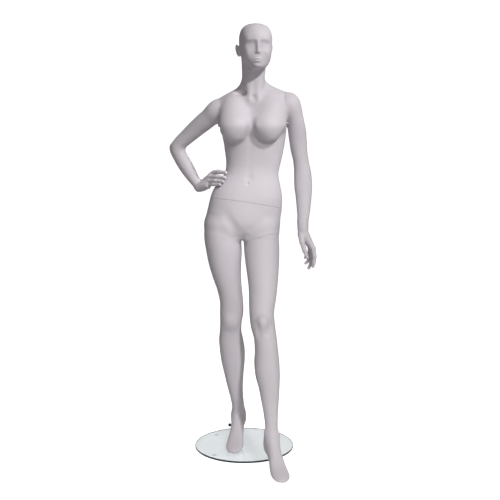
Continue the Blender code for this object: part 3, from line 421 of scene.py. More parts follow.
# ------------------------------------------------------------------- arms
R_SH, R_EL, R_WR = V(-.118, .012, 1.418), V(-.2800, .066, 1.2700), V(-.1885, .036, 1.1120)
UP_L, FO_L = np.linalg.norm(R_EL - R_SH), np.linalg.norm(R_WR - R_EL)
UPPER_LOFT = Loft([(-.03, -.030, .030, -.034, .034, 2.0), (.00, -.0375, .0370, -.042, .042, 2.1), (.045, -.0365, .0395, -.041, .041, 2.1),
                   (.095, -.0315, .0400, -.037, .037, 2.1), (.150, -.0265, .0375, -.034, .034, 2.1),
                   (UP_L, -.0215, .0290, -.030, .030, 2.1), (UP_L + .018, -.022, .022, -.024, .024, 2.0)],
                  origin=R_SH, w=R_EL - R_SH, u=V(-.7, 0, .7), cap=.02)
FORE_LOFT = Loft([(-.018, -.021, .021, -.023, .023, 2.0), (.0, -.0215, .0290, -.030, .030, 2.1), (.045, -.0255, .0345, -.0325, .0325, 2.1),
                  (.090, -.0250, .0335, -.031, .031, 2.1), (.140, -.0215, .0265, -.025, .025, 2.1), (FO_L - .012, -.0195, .0200, -.021, .021, 2.1),
                  (FO_L + .014, -.0165, .0165, -.0185, .0185, 2.0)],
                 origin=R_EL, w=R_WR - R_EL, u=V(-.87, 0, -.49), cap=.01)
LARM = [
    (0.925, .2200, .2620, -.052, -.012, 2.1),
    (0.948, .2200, .2615, -.050, -.008, 2.1),
    (0.973, .2200, .2630, -.047, -.002, 2.1),
    (0.998, .2185, .2685, -.043, .005, 2.1),
    (1.035, .2155, .2740, -.037, .015, 2.1),
    (1.073, .2120, .2775, -.031, .025, 2.15),
    (1.110, .2070, .2800, -.027, .034, 2.15),
    (1.147, .2055, .2790, -.023, .041, 2.15),
    (1.185, .2050, .2740, -.018, .048, 2.15),
    (1.221, .2010, .2660, -.014, .052, 2.1),
    (1.258, .1920, .2605, -.014, .053, 2.1),
    (1.300, .1850, .2575, -.017, .053, 2.1),
    (1.343, .1790, .2540, -.021, .055, 2.1),
    (1.383, .1730, .2460, -.025, .057, 2.1),
    (1.416, .1640, .2380, -.027, .058, 2.1),
    (1.440, .1560, .2290, -.025, .056, 2.1),
    (1.465, .1480, .2140, -.018, .048, 2.0),
]
LARM_LOFT = Loft(LARM, origin=(.0008, 0, 0), cap=.03)


def rarm(p):
    d = smin(UPPER_LOFT(p), FORE_LOFT(p), .022)
    return smin(d, Ell(R_SH + V(.003, 0, .0030), (.037, .043, .0405))(p), .02)


def larm(p):
    return smin(LARM_LOFT(p), Ell(V(.187, .016, 1.4505), (.040, .042, .048))(p), .03)


def chain(p, pts, radii, k=.004):
    d = None
    for a, b, ra, rb in zip(pts[:-1], pts[1:], radii[:-1], radii[1:]):
        e = Cone(a, b, ra, rb)(p)
        d = e if d is None else smin(d, e, k)
    return d


def rhand(p):
    wr = R_WR
    k = [V(-.1290, -.002, 1.1710), V(-.138, -.006, 1.155), V(-.144, -.006, 1.139), V(-.150, -.002, 1.124)]
    d = Cone(wr + V(.004, 0, .001), V(-.169, .028, 1.1165), .0180, .0185)(p)
    for kk, r0, r1 in zip(k, (.0085, .0115, .0135, .0135), (.0094, .0104, .0104, .0094)):
        root = wr * .60 + k[3] * .40 if kk is k[0] else wr * .72 + kk * .28
        d = smin(d, Cone(root, kk, r0, r1)(p), .009)
    d = smin(d, Cone(wr + V(.005, 0, -.001), k[3] + V(0, 0, -.006), .0180, .0125)(p), .014)
    mids = [V(-.104, -.030, 1.1785), V(-.110, -.036, 1.1585), V(-.117, -.036, 1.1425), V(-.125, -.030, 1.1280)]
    tips = [V(-.074, -.058, 1.1770), V(-.078, -.062, 1.1570), V(-.086, -.060, 1.1420), V(-.097, -.054, 1.1285)]
    for kk, m, t, r in zip(k, mids, tips, (.0092, .0092, .0086, .0078)):
        d = smin(d, chain(p, [kk, m, t], [r * 1.10, r, r * .80]), .0035)
    # thumb, round the back of the waist
    thumb = [V(-.176, .038, 1.122), V(-.158, .056, 1.140), V(-.140, .068, 1.158), V(-.124, .074, 1.172)]
    return smin(d, chain(p, thumb, [.0150, .0118, .0098, .0076]), .012)


L_WR = V(.2435, -.029, .945)


def lhand(p):
    k = [V(.2850, -.036, .8630), V(.2825, -.016, .8600), V(.2790, .004, .8580), V(.2745, .020, .8590)]
    d = Cone(L_WR + V(-.0015, .004, .030), V(.2440, -.028, .925), .0210, .0195)(p)
    for kk, r0, r1 in zip(k, (.0170, .0155, .0145, .0140), (.0105, .0103, .0098, .0090)):
        d = smin(d, Cone(V(.2450, -.028, .928) * .8 + kk * .2, kk, r0, r1)(p), .010)
    F = [([k[0], V(.2905, -.040, .8300), V(.2885, -.038, .8060), V(.2855, -.034, .7880)], .0085),
         ([k[1], V(.2865, -.018, .8220), V(.2790, -.008, .7980), V(.2695, -.002, .7760)], .0088),
         ([k[2], V(.2800, .004, .8220), V(.2690, .012, .8050), V(.2575, .016, .7930)], .0083),
         ([k[3], V(.2720, .022, .8330), V(.2640, .028, .8210), V(.2560, .030, .8150)], .0074)]
    for pts, r in F:
        d = smin(d, chain(p, pts, [r * 1.10, r, r * .88, r * .76]), .004)
    thumb = [V(.2350, -.036, .922), V(.2385, -.052, .892), V(.2470, -.060, .860), V(.2590, -.064, .830)]
    return smin(d, chain(p, thumb, [.0150, .0112, .0088, .0068]), .007)


# seams: a point on the cut and the direction out of the parent
SEAM = .0004
WALL = .0045
WAIST = (V(.012, 0, 1.0420), unit((.144, .196, .970)))
RSHO = (V(-.0960, .0130, 1.4350), V(-1.0, 0, 0))
LSHO = (V(.1695, .0150, 1.4440), unit((.9993, 0, .0370)))
THIGH = (V(.0725, .0020, .8960), unit((.278, -.248, -.928)))
RWR = (V(-.1910, .0370, 1.1200), unit((.4630, -.1650, -.8710)))
LWR = (V(.2436, -.0220, .9840), unit((0, -.180, -.984)))


def trunk_and_arms(p):
    """The body with the stub of each upper arm, so that skins run on over the shoulder seams."""
    x, y, z = p[..., 0], p[..., 1], p[..., 2]
    d = body(p)
    far = 1.38 - z
    d = smin(d, smax(rarm(p), far, .01), .016)
    return smin(d, smax(larm(p), far, .01), .010)


def right_arm(p):
    z = p[..., 2]
    d = smin(rarm(p), rhand(p), .010)
    return smin(d, smax(trunk(p), 1.36 - z, .004), .016)


def left_arm(p):
    z = p[..., 2]
    d = smin(larm(p), lhand(p), .010)
    return smin(d, smax(trunk(p), 1.36 - z, .004), .010)


# ------------------------------------------------- field to mesh
def sample(f, lo, hi, h, chunk=400000):
    n = np.ceil((hi - lo) / h).astype(int) + 1
    g = np.full(n, 1.0, np.float32)
    C = 4
    nc = (n + C - 1) // C
    cx = [lo[i] + (np.arange(nc[i]) * C + (C - 1) / 2) * h for i in range(3)]
    P = np.stack(np.meshgrid(*cx, indexing="ij"), -1).reshape(-1, 3)
    dc = np.concatenate([f(P[i:i + chunk]) for i in range(0, len(P), chunk)]).reshape(nc)
    act = np.abs(dc) < h * C * 1.25
    g[...] = np.repeat(np.repeat(np.repeat(np.where(dc < 0, -1.0, 1.0), C, 0), C, 1), C, 2)[:n[0], :n[1], :n[2]]
    ii = np.argwhere(act)
    off = np.stack(np.meshgrid(*[np.arange(C)] * 3, indexing="ij"), -1).reshape(-1, 3)
    for s in range(0, len(ii), chunk // 64):
        idx = (ii[s:s + chunk // 64, None, :] * C + off[None]).reshape(-1, 3)
        idx = idx[(idx < n).all(1)]
        g[idx[:, 0], idx[:, 1], idx[:, 2]] = f(lo + idx * h)
    return g


def nets(g, lo, h):
    """Surface nets: vertices and quads."""
    s = g < 0
    nx, ny, nz = g.shape
    tot = np.zeros((nx - 1, ny - 1, nz - 1), np.int8)
    for i in (0, 1):
        for j in (0, 1):
            for k in (0, 1):
                tot += s[i:nx - 1 + i, j:ny - 1 + j, k:nz - 1 + k]
    cell = (tot > 0) & (tot < 8)
    vid = np.full(cell.shape, -1, np.int64)
    ci = np.argwhere(cell)
    vid[cell] = np.arange(len(ci))
    acc, cnt = np.zeros((len(ci), 3)), np.zeros(len(ci))
    eye = np.eye(3, dtype=int)
    for d in range(3):
        e, o = eye[d], [k for k in range(3) if k != d]
        for a in (0, 1):
            for b in (0, 1):
                base = np.zeros(3, int)
                base[o[0]], base[o[1]] = a, b
                i0 = ci + base
                i1 = i0 + e
                g0 = g[i0[:, 0], i0[:, 1], i0[:, 2]].astype(float)
                g1 = g[i1[:, 0], i1[:, 1], i1[:, 2]].astype(float)
                cr = (g0 < 0) != (g1 < 0)
                t = np.where(cr, g0 / np.where(cr, g0 - g1, 1), 0)
                pnt = base + t[:, None] * e
                acc[cr] += pnt[cr]
                cnt[cr] += 1
    v = lo + (ci + acc / cnt[:, None]) * h
    quads = []
    for d in range(3):
        e = eye[d]
        a0 = s[tuple(slice(0, s.shape[i] - e[i]) for i in range(3))]
        a1 = s[tuple(slice(e[i], s.shape[i]) for i in range(3))]
        ed = np.argwhere(a0 != a1)
        o1, o2 = (d + 1) % 3, (d + 2) % 3
        ok = (ed[:, o1] > 0) & (ed[:, o2] > 0) & (ed[:, o1] < g.shape[o1] - 1) & (ed[:, o2] < g.shape[o2] - 1)
        ed = ed[ok]
        inside = a0[ed[:, 0], ed[:, 1], ed[:, 2]]
        q = [ed - eye[o1] - eye[o2], ed - eye[o2], ed, ed - eye[o1]]
        q = np.stack([vid[t[:, 0], t[:, 1], t[:, 2]] for t in q], 1)
        q[~inside] = q[~inside][:, ::-1]
        quads.append(q)
    return v, np.concatenate(quads)


def project(f, v, n=2, e=2e-4, cap=.004):
    """Moves points onto the zero level."""
    for _ in range(n):
        d = f(v)
        g = np.stack([(f(v + np.eye(3)[i] * e) - d) / e for i in range(3)], -1)
        step = d[:, None] * g / np.maximum((g * g).sum(-1), .25)[:, None]
        size = np.linalg.norm(step, axis=-1, keepdims=True)
        v = v - step * np.minimum(1, cap / np.maximum(size, 1e-12))
    return v


def right_hand_field(p):
    return smin(rarm(p), rhand(p), .010)


def left_hand_field(p):
    return smin(larm(p), lhand(p), .010)
# --- end figure

# ------------------------------------------------------------ light levels
FLOOR_GLOW, UNDER_GLASS_GLOW = 0.92, 0.66
WORLD_FILL = 0.225
# name, place, aim, half angle of the beam in degrees, edge softness, lamp radius, power, colour
SPOTS = (
    ("key_high", (1.98, -2.30, 4.15), (.03, -.02, 1.62), 9.2, .9, .20, 540.0, (1.0, .985, .975)),
    ("key_low", (1.65, -4.4, 4.05), (.02, -.05, .30), 10.5, .9, .20, 900.0, (1.0, .985, .97)),
)
LIGHTS = (
    ("back_fill", (1.3, 4.4, 2.9), (0.03, 0.0, 1.0), 2.6, 30.0, (1.0, .99, 1.0)),
    ("side_fill", (3.9, -1.2, 1.5), (0.03, 0.0, 0.9), 2.2, 8.0, (1.0, .99, 1.0)),
    ("front_fill", (-.2, -4.4, 1.7), (0.03, 0.0, 1.0), 2.0, 17.0, (1.0, .99, 1.0)),
)


# ------------------------------------------------------------ materials
def new_material(name):
    m = bpy.data.materials.new(name)
    m.use_nodes = True
    return m, m.node_tree, m.node_tree.nodes["Principled BSDF"]


def node(tree, kind, x=0, y=0, **values):
    n = tree.nodes.new(kind)
    n.location = (x, y)
    for k, v in values.items():
        if hasattr(n, k):
            setattr(n, k, v)
        else:
            n.inputs[k].default_value = v
    return n


def noise(tree, scale, detail=4.0, rough=0.5, stretch=None):
    coord = node(tree, "ShaderNodeTexCoord")
    n = node(tree, "ShaderNodeTexNoise", noise_dimensions="3D")
    n.inputs["Scale"].default_value = scale
    n.inputs["Detail"].default_value = detail
    n.inputs["Roughness"].default_value = rough
    if stretch:
        mp = node(tree, "ShaderNodeMapping")
        mp.inputs["Scale"].default_value = stretch
        tree.links.new(coord.outputs["Object"], mp.inputs["Vector"])
        tree.links.new(mp.outputs["Vector"], n.inputs["Vector"])
    else:
        tree.links.new(coord.outputs["Object"], n.inputs["Vector"])
    return n


def spread(tree, source, low, high, a=0.3, b=0.7):
    n = node(tree, "ShaderNodeMapRange")
    n.inputs["From Min"].default_value, n.inputs["From Max"].default_value = a, b
    n.inputs["To Min"].default_value, n.inputs["To Max"].default_value = low, high
    tree.links.new(source, n.inputs["Value"])
    return n.outputs["Result"]


def tint(tree, factor, c0, c1):
    n = node(tree, "ShaderNodeMix", data_type="RGBA")
    n.inputs[6].default_value = (*c0, 1)
    n.inputs[7].default_value = (*c1, 1)
    tree.links.new(factor, n.inputs[0])
    return n.outputs[2]


def bumps(tree, principled, layers):
    """Stacked bumps: (height source, distance, strength)."""
    last = None
    for height, distance, strength in layers:
        b = node(tree, "ShaderNodeBump")
        b.inputs["Distance"].default_value = distance
        b.inputs["Strength"].default_value = strength
        tree.links.new(height, b.inputs["Height"])
        if last:
            tree.links.new(last, b.inputs["Normal"])
        last = b.outputs["Normal"]
    tree.links.new(last, principled.inputs["Normal"])


SKIN_DARK, SKIN_LIGHT = (.535, .505, .545), (.590, .560, .602)


def skin_paint():
    """Sprayed matt paint: faint clouding, fine speckle, a trace of orange peel."""
    m, t, p = new_material("skin_matt_paint")
    cloud = noise(t, 5.0, 3.0)
    fine = noise(t, 900.0, 2.0, 0.6)
    peel = noise(t, 260.0, 2.0, 0.45)
    wave = noise(t, 28.0, 2.0, 0.4)
    mixf = node(t, "ShaderNodeMath", operation="ADD")
    t.links.new(spread(t, cloud.outputs["Fac"], 0.0, 0.75), mixf.inputs[0])
    t.links.new(spread(t, fine.outputs["Fac"], 0.0, 0.25), mixf.inputs[1])
    t.links.new(tint(t, mixf.outputs[0], SKIN_DARK, SKIN_LIGHT), p.inputs["Base Color"])
    t.links.new(spread(t, peel.outputs["Fac"], .50, .60), p.inputs["Roughness"])
    p.inputs["IOR"].default_value = 1.46
    p.inputs["Specular IOR Level"].default_value = 0.38
    p.inputs["Sheen Weight"].default_value = 0.06
    p.inputs["Sheen Roughness"].default_value = 0.5
    bumps(t, p, [(wave.outputs["Fac"], .0006, .10), (peel.outputs["Fac"], .00012, .16), (fine.outputs["Fac"], .00004, .14)])
    return m


def board_paint():
    """End boards behind the seams: the same paint, thinner and duller, over chopped-strand laminate."""
    m, t, p = new_material("end_board_laminate")
    strand = noise(t, 120.0, 5.0, 0.7, (1, 5, 1))
    blotch = noise(t, 22.0, 3.0)
    t.links.new(tint(t, spread(t, strand.outputs["Fac"], 0, 1, .35, .65), (.36, .345, .35), (.47, .45, .465)), p.inputs["Base Color"])
    t.links.new(spread(t, blotch.outputs["Fac"], .62, .80), p.inputs["Roughness"])
    bumps(t, p, [(strand.outputs["Fac"], .0004, .35)])
    return m


def raw_laminate():
    """Bare glass-fibre wall seen at a parted seam."""
    m, t, p = new_material("bare_glass_fibre")
    strand = noise(t, 300.0, 4.0, 0.7, (1, 1, 6))
    t.links.new(tint(t, spread(t, strand.outputs["Fac"], 0, 1, .35, .65), (.46, .438, .462), (.56, .535, .566)), p.inputs["Base Color"])
    t.links.new(spread(t, strand.outputs["Fac"], .55, .75), p.inputs["Roughness"])
    bumps(t, p, [(strand.outputs["Fac"], .0004, .4)])
    return m


def steel(name, base=(.56, .56, .57), rough=.30, brushed=True):
    """Turned or brushed steel with fine lines and faint handling marks."""
    m, t, p = new_material(name)
    lines = noise(t, 420.0, 3.0, 0.6, (1, 1, 14) if brushed else (1, 1, 1))
    smear = noise(t, 40.0, 3.0)
    t.links.new(tint(t, spread(t, smear.outputs["Fac"], 0, 1), tuple(c * .82 for c in base), base), p.inputs["Base Color"])
    p.inputs["Metallic"].default_value = 1.0
    t.links.new(spread(t, lines.outputs["Fac"], rough - .06, rough + .12), p.inputs["Roughness"])
    bumps(t, p, [(lines.outputs["Fac"], .00008, .25)])
    return m


def clear_glass():
    """Toughened float glass: almost clear across its thickness, grey-green along it from the volume absorption, with
    faint dust on the faces. A dark band painted into the colour at the polished rim, with less transmission there, is
    painted shade standing for the dark line the edge shows."""
    m, t, p = new_material("clear_glass_disc")
    dust = noise(t, 60.0, 4.0, 0.65)
    lo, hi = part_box("glass_disc")
    radius = (hi[0] - lo[0]) / 2
    coord = node(t, "ShaderNodeTexCoord")
    flat = node(t, "ShaderNodeVectorMath", operation="MULTIPLY")
    flat.inputs[1].default_value = (1, 1, 0)
    size = node(t, "ShaderNodeVectorMath", operation="LENGTH")
    t.links.new(coord.outputs["Object"], flat.inputs[0])
    t.links.new(flat.outputs["Vector"], size.inputs[0])
    # painted shade: a thin band at the rim gets a dark colour and less transmission, standing for the edge's dark line
    painted_rim_shade = spread(t, size.outputs["Value"], 0.0, 1.0, radius - .0022, radius - .0008)
    t.links.new(tint(t, painted_rim_shade, (.845, .862, .875), (.030, .052, .058)), p.inputs["Base Color"])
    t.links.new(spread(t, painted_rim_shade, 1.0, .35, 0.0, 1.0), p.inputs["Transmission Weight"])
    p.inputs["IOR"].default_value = 1.50
    t.links.new(spread(t, dust.outputs["Fac"], .004, .030, .45, .75), p.inputs["Roughness"])
    absorb = node(t, "ShaderNodeVolumeAbsorption")
    absorb.inputs["Color"].default_value = (.36, .50, .52, 1)
    absorb.inputs["Density"].default_value = 12.0
    t.links.new(absorb.outputs[0], t.nodes["Material Output"].inputs["Volume"])
    return m


def clear_pad():
    m, t, p = new_material("clear_bumper_pad")
    grain = noise(t, 500.0, 3.0)
    p.inputs["Base Color"].default_value = (.86, .89, .89, 1)
    p.inputs["Transmission Weight"].default_value = .75
    p.inputs["IOR"].default_value = 1.45
    t.links.new(spread(t, grain.outputs["Fac"], .30, .45), p.inputs["Roughness"])
    return m


def black_plastic():
    """Moulded black nylon knob."""
    m, t, p = new_material("black_knob_plastic")
    grain = noise(t, 1200.0, 3.0, 0.6)
    t.links.new(tint(t, spread(t, grain.outputs["Fac"], 0, 1), (.010, .010, .011), (.022, .022, .024)), p.inputs["Base Color"])
    t.links.new(spread(t, grain.outputs["Fac"], .38, .52), p.inputs["Roughness"])
    bumps(t, p, [(grain.outputs["Fac"], .00008, .3)])
    return m


SKIN_MAT, BOARD_MAT, WALL_MAT = skin_paint(), board_paint(), raw_laminate()
STEEL_MAT, TUBE_MAT = steel("turned_steel"), steel("drawn_steel_tube", (.50, .50, .51), .36)
ROD_MAT = steel("polished_steel_rod", (.62, .62, .63), .20)
GLASS_MAT, PAD_MAT, BLACK_MAT = clear_glass(), clear_pad(), black_plastic()


# ---------------------------------------------------------------- skins
H_BODY, H_HEAD, H_ARM, H_HAND = ((.0032, .0017, .0030, .0013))


def grid_mesh(f, lo, hi, h):
    lo = np.array(lo, float)
    v, q = nets(sample(f, lo, np.array(hi, float), h), lo, h)
    return project(f, v), q


def to_bmesh(v, q):
    bm = bmesh.new()
    vs = [bm.verts.new(p) for p in v]
    for a, b, c, d in q:
        bm.faces.new((vs[a], vs[b], vs[c], vs[d]))
    bm.normal_update()
    return bm


def bisect(bm, plane, shift, where=None, keep=0):
    """Cuts the skin at the plane moved by shift along its direction, only where asked.
    keep +1 drops what lies before it, -1 what lies beyond, inside the asked region."""
    p, n = plane
    c = Vector(p + n * shift)
    n = Vector(n)
    faces = [f for f in bm.faces if where is None or where(f.calc_center_median())]
    near = [f for f in faces if abs((f.calc_center_median() - c).dot(n)) < .02]
    geom = set(near)
    for f in near:
        geom.update(f.verts)
        geom.update(f.edges)
    bmesh.ops.bisect_plane(bm, geom=list(geom), dist=1e-7, plane_co=c, plane_no=n)
    if keep:
        gone = [f for f in bm.faces if (where is None or where(f.calc_center_median()))
                and (f.calc_center_median() - c).dot(n) * keep < 0]
        bmesh.ops.delete(bm, geom=gone, context="FACES")
    return bm


def biggest(bm):
    """Only the largest connected skin."""
    bm.verts.index_update()
    seen, best = np.zeros(len(bm.verts), bool), []
    for start in bm.verts:
        if seen[start.index]:
            continue
        stack, group = [start], []
        seen[start.index] = True
        while stack:
            v = stack.pop()
            group.append(v)
            for e in v.link_edges:
                w = e.other_vert(v)
                if not seen[w.index]:
                    seen[w.index] = True
                    stack.append(w)
        if len(group) > len(best):
            best = group
    keep = set(best)
    bmesh.ops.delete(bm, geom=[v for v in bm.verts if v not in keep], context="VERTS")
    return bm


def rim(bm, planes, field, depth=.010):
    """Turns each cut edge in: a small round-over, a lip as thick as the wall, then the
    wall's inner face going back under the skin. planes: (point, direction out of this mouth)."""
    for p, n in planes:
        nv, pv = Vector(n), Vector(p)
        edges = [e for e in bm.edges if e.is_boundary and all(abs((v.co - pv).dot(nv)) < 4 * SEAM for v in e.verts)]
        if not edges:
            continue
        bm.normal_update()
        normals = {v: v.normal.copy() for e in edges for v in e.verts}
        for v in normals:
            v.co -= nv * .0003
        for inward, back, slot in ((.0004, -.0003, 0), (WALL - .0004, 0.0, 1), (0.0, depth, 1)):
            out = bmesh.ops.extrude_edge_only(bm, edges=edges)["geom"]
            new_verts = [g for g in out if isinstance(g, bmesh.types.BMVert)]
            for f in out:
                if isinstance(f, bmesh.types.BMFace):
                    f.material_index = slot
            nxt = {}
            for v in new_verts:
                old = next(e.other_vert(v) for e in v.link_edges if e.other_vert(v) in normals)
                side = normals[old] - nv * normals[old].dot(nv)
                if side.length > 1e-6:
                    side.normalize()
                v.co = v.co - side * inward - nv * back
                nxt[v] = normals[old]
            if inward > .002 or back > .002:
                # nothing of the wall may come through the outer skin
                pts = np.array([v.co[:] for v in new_verts])
                na = np.asarray(n)
                for _ in range(4):
                    d = field(pts)
                    g = np.stack([(field(pts + np.eye(3)[i] * 3e-4) - d) / 3e-4 for i in range(3)], -1)
                    if inward > .002:
                        g = g - (g @ na)[:, None] * na
                    g = g / np.maximum(np.linalg.norm(g, axis=-1, keepdims=True), .3)
                    pts = pts - g * np.maximum(d + WALL * .8, 0)[:, None]
                    if back > .002:
                        over = (pts - np.asarray(p)) @ na + .002
                        pts = pts - np.maximum(over, 0)[:, None] * na
                for v, q in zip(new_verts, pts):
                    v.co = q
            normals = nxt
            edges = [e for e in bm.edges if e.is_boundary and e.verts[0] in nxt and e.verts[1] in nxt]
    return bm


def finish_piece(bm, name, nodename, body_name, mats):
    mesh = bpy.data.meshes.new(name)
    for f in bm.faces:
        f.smooth = True
    bm.to_mesh(mesh)
    bm.free()
    for m in mats:
        mesh.materials.append(m)
    o = bpy.data.objects.new(name, mesh)
    bpy.context.scene.collection.objects.link(o)
    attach(o, body_name)
    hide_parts(nodename)
    return o


half = SEAM / 2
MATS = [SKIN_MAT, WALL_MAT]

# trunk with head: body grid below the neck line, finer grid above it; the two meet at NECK_Z
NECK_Z = 1.560


body_v, body_q = grid_mesh(trunk_and_arms, (-.215, -.445, -.010), (.235, .165, 1.60), H_BODY)
low = to_bmesh(body_v, body_q)
NECK_PLANE = (V(0, 0, NECK_Z), V(0, 0, 1.0))
bisect(low, NECK_PLANE, 0.0, None, -1)
bisect(low, WAIST, half)
bisect(low, WAIST, -half)
region_hip = lambda c: c.z < 1.0 and c.x > -.006 + (.88 - c.z) * .055
bisect(low, THIGH, half, region_hip)
bisect(low, THIGH, -half, region_hip)
region_rs = lambda c: c.x < -.05 and c.z > 1.34
region_ls = lambda c: c.x > .12 and c.z > 1.365
bisect(low, RSHO, -half, region_rs, -1)
bisect(low, LSHO, -half, region_ls, -1)


def side_of(plane, c, shift):
    return (c - Vector(plane[0])).dot(Vector(plane[1])) - shift


def only(bm, test):
    out = bm.copy()
    bmesh.ops.delete(out, geom=[f for f in out.faces if not test(f.calc_center_median())], context="FACES")
    return biggest(out)


upper_bm = only(low, lambda c: side_of(WAIST, c, half) > 0)
lower_bm = only(low, lambda c: side_of(WAIST, c, -half) < 0 and not (region_hip(c) and side_of(THIGH, c, -half) > 0))
leg_bm = only(low, lambda c: region_hip(c) and side_of(THIGH, c, half) > 0)
low.free()

head_v, head_q = grid_mesh(body, (-.075, -.150, NECK_Z - .010), (.165, .135, 1.785), H_HEAD)
head_bm = to_bmesh(head_v, head_q)
bisect(head_bm, NECK_PLANE, 0.0, None, 1)
head_bm = biggest(head_bm)
# one skin out of both
tmp = bpy.data.meshes.new("tmp")
head_bm.to_mesh(tmp)
head_bm.free()
upper_bm.from_mesh(tmp)
bpy.data.meshes.remove(tmp)
ring = [e for e in upper_bm.edges if e.is_boundary and abs(e.verts[0].co.z - NECK_Z) < 1e-5 and abs(e.verts[1].co.z - NECK_Z) < 1e-5]
bmesh.ops.bridge_loops(upper_bm, edges=ring)

RS_OUT, LS_OUT = (RSHO[0] - RSHO[1] * half, RSHO[1]), (LSHO[0] - LSHO[1] * half, LSHO[1])
rim(upper_bm, [(WAIST[0], -WAIST[1]), RS_OUT, LS_OUT], trunk_and_arms)
rim(lower_bm, [WAIST, THIGH], trunk_and_arms)
rim(leg_bm, [(THIGH[0], -THIGH[1])], trunk_and_arms)
finish_piece(upper_bm, "upper_body_skin", "upper_body_shell", "upper_body", MATS)
finish_piece(lower_bm, "lower_body_skin", "lower_body_shell", "lower_body", MATS)
finish_piece(leg_bm, "left_leg_skin", "left_leg_shell", "left_leg", MATS)


def arm_piece(f, lo, hi, sho, wrist, name, nodename, body_name):
    v, q = grid_mesh(f, lo, hi, H_ARM)
    bm = to_bmesh(v, q)
    high = lambda c: c.z > 1.30
    low_ = lambda c: c.z < 1.30
    bisect(bm, sho, half, high, 1)
    bisect(bm, wrist, -half, low_, -1)
    bm = biggest(bm)
    rim(bm, [(sho[0], -sho[1]), wrist], f)
    return finish_piece(bm, name, nodename, body_name, MATS)


def hand_piece(f, lo, hi, wrist, name, nodename, body_name):
    v, q = grid_mesh(f, lo, hi, H_HAND)
    bm = to_bmesh(v, q)
    bisect(bm, wrist, half, None, 1)
    bm = biggest(bm)
    rim(bm, [(wrist[0], -wrist[1])], f)
    return finish_piece(bm, name, nodename, body_name, MATS)


arm_piece(right_arm, (-.345, -.090, 1.060), (-.080, .135, 1.500), RSHO, RWR, "right_arm_skin", "right_arm_shell", "right_arm")
arm_piece(left_arm, (.150, -.090, .900), (.320, .110, 1.520), LSHO, LWR, "left_arm_skin", "left_arm_shell", "left_arm")
hand_piece(right_hand_field, (-.230, -.080, 1.070), (-.060, .110, 1.200), RWR, "right_hand_skin", "right_hand", "right_hand_body")
hand_piece(left_hand_field, (.205, -.085, .755), (.320, .055, 1.000), LWR, "left_hand_skin", "left_hand", "left_hand_body")

# ------------------------------------------------------ CAD nodes kept
for name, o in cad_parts.items():
    if name.endswith("_shell") or name in ("right_hand", "left_hand"):
        continue
    if name == "glass_disc":
        mat = GLASS_MAT
    elif name.startswith("glass_pad"):
        mat = PAD_MAT
    elif name == "thumb_screw":
        mat = BLACK_MAT
    elif name == "foot_rod":
        mat = ROD_MAT
    elif name == "ankle_socket_tube":
        mat = TUBE_MAT
    elif "plate" in name:
        mat = BOARD_MAT
    else:
        mat = STEEL_MAT
    o.data.materials.clear()
    o.data.materials.append(mat)
    o.data.polygons.foreach_set("material_index", [0] * len(o.data.polygons))


# ------------------------------------------------------------------ stage
def stage_material(name, colour, glow, under_glass):
    m, t, p = new_material(name)
    p.inputs["Base Color"].default_value = (*colour, 1)
    p.inputs["Roughness"].default_value = .9
    p.inputs["Specular IOR Level"].default_value = .1
    path = node(t, "ShaderNodeLightPath")
    em = node(t, "ShaderNodeEmission")
    em.inputs["Color"].default_value = (1, 1, 1, 1)
    add = node(t, "ShaderNodeAddShader")
    t.links.new(p.outputs[0], add.inputs[0])
    t.links.new(em.outputs[0], add.inputs[1])
    mixs = node(t, "ShaderNodeMixShader")
    # bright to the camera, less so through the glass, plain white card to the light
    direct = node(t, "ShaderNodeMath", operation="MAXIMUM")
    t.links.new(path.outputs["Is Camera Ray"], direct.inputs[0])
    t.links.new(path.outputs["Is Transmission Ray"], direct.inputs[1])
    level = node(t, "ShaderNodeMapRange")
    level.inputs["To Min"].default_value, level.inputs["To Max"].default_value = under_glass, glow
    t.links.new(path.outputs["Is Camera Ray"], level.inputs["Value"])
    t.links.new(level.outputs[0], em.inputs["Strength"])
    t.links.new(direct.outputs[0], mixs.inputs[0])
    t.links.new(p.outputs[0], mixs.inputs[1])
    t.links.new(add.outputs[0], mixs.inputs[2])
    t.links.new(mixs.outputs[0], t.nodes["Material Output"].inputs["Surface"])
    return m


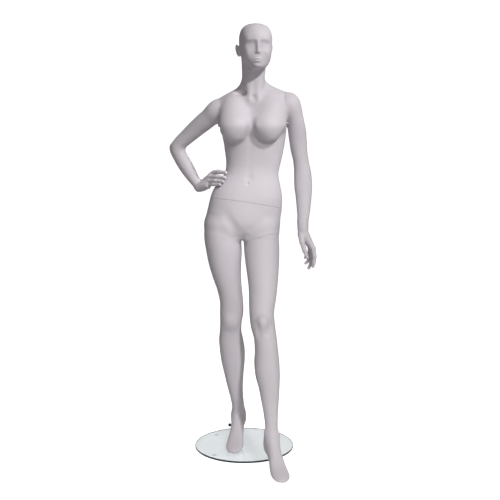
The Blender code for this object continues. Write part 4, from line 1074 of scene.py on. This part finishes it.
bm = bmesh.new()
prof = [(-9.0, 0.0), (5.0, 0.0)]
R = 3.0
prof += [(5.0 + R * math.sin(a), R * (1 - math.cos(a))) for a in np.linspace(0, math.pi / 2, 13)[1:]]
prof += [(5.0 + R, 14.0)]
rows = [[bm.verts.new((x, y, z)) for y, z in prof] for x in (-14.0, 14.0)]
for k in range(len(prof) - 1):
    bm.faces.new((rows[0][k], rows[1][k], rows[1][k + 1], rows[0][k + 1]))
mesh = bpy.data.meshes.new("studio_floor")
bm.to_mesh(mesh)
bm.free()
for f in mesh.polygons:
    f.use_smooth = True
mesh.materials.append(stage_material("studio_paper", (.86, .86, .865), FLOOR_GLOW, UNDER_GLASS_GLOW))
floor = bpy.data.objects.new("studio_floor", mesh)
bpy.context.scene.collection.objects.link(floor)

world = bpy.data.worlds.new("studio")
bpy.context.scene.world = world
world.use_nodes = True
wt = world.node_tree
bg = wt.nodes["Background"]
lp = node(wt, "ShaderNodeLightPath")
see = node(wt, "ShaderNodeMath", operation="MAXIMUM")
wt.links.new(lp.outputs["Is Camera Ray"], see.inputs[0])
wt.links.new(lp.outputs["Is Transmission Ray"], see.inputs[1])
mr = node(wt, "ShaderNodeMapRange")
mr.inputs["To Min"].default_value, mr.inputs["To Max"].default_value = WORLD_FILL, 1.0
wt.links.new(see.outputs[0], mr.inputs["Value"])
wt.links.new(mr.outputs[0], bg.inputs["Strength"])
bg.inputs["Color"].default_value = (1.0, .975, .945, 1)


def area(name, place, target, size, power, colour=(1, 1, 1)):
    l = bpy.data.lights.new(name, "AREA")
    l.shape, l.size, l.energy, l.color = "DISK", size, power, colour
    o = bpy.data.objects.new(name, l)
    bpy.context.scene.collection.objects.link(o)
    o.location = place
    o.rotation_euler = (Vector(target) - Vector(place)).to_track_quat("-Z", "Y").to_euler()
    return o


def spot(name, place, target, half_angle, soft, radius, power, colour):
    l = bpy.data.lights.new(name, "SPOT")
    l.spot_size, l.spot_blend, l.shadow_soft_size = math.radians(2 * half_angle), soft, radius
    l.energy, l.color = power, colour
    o = bpy.data.objects.new(name, l)
    bpy.context.scene.collection.objects.link(o)
    o.location = place
    o.rotation_euler = (Vector(target) - Vector(place)).to_track_quat("-Z", "Y").to_euler()
    return o


for name, place, target, size, power, colour in LIGHTS:
    area(name, place, target, size, power, colour)
for row in SPOTS:
    spot(*row)

cam = bpy.data.cameras.new("camera")
cam_o = bpy.data.objects.new("camera", cam)
bpy.context.scene.collection.objects.link(cam_o)
cam.sensor_width = 36.0
cam.lens = 70.014
cam_o.location = (.02445, -4.0, 1.4576)
cam_o.rotation_euler = (math.radians(90 - 8.618), 0, 0)
cam.clip_start, cam.clip_end = .05, 100
bpy.context.scene.camera = cam_o
bpy.context.scene.view_settings.view_transform = "Standard"
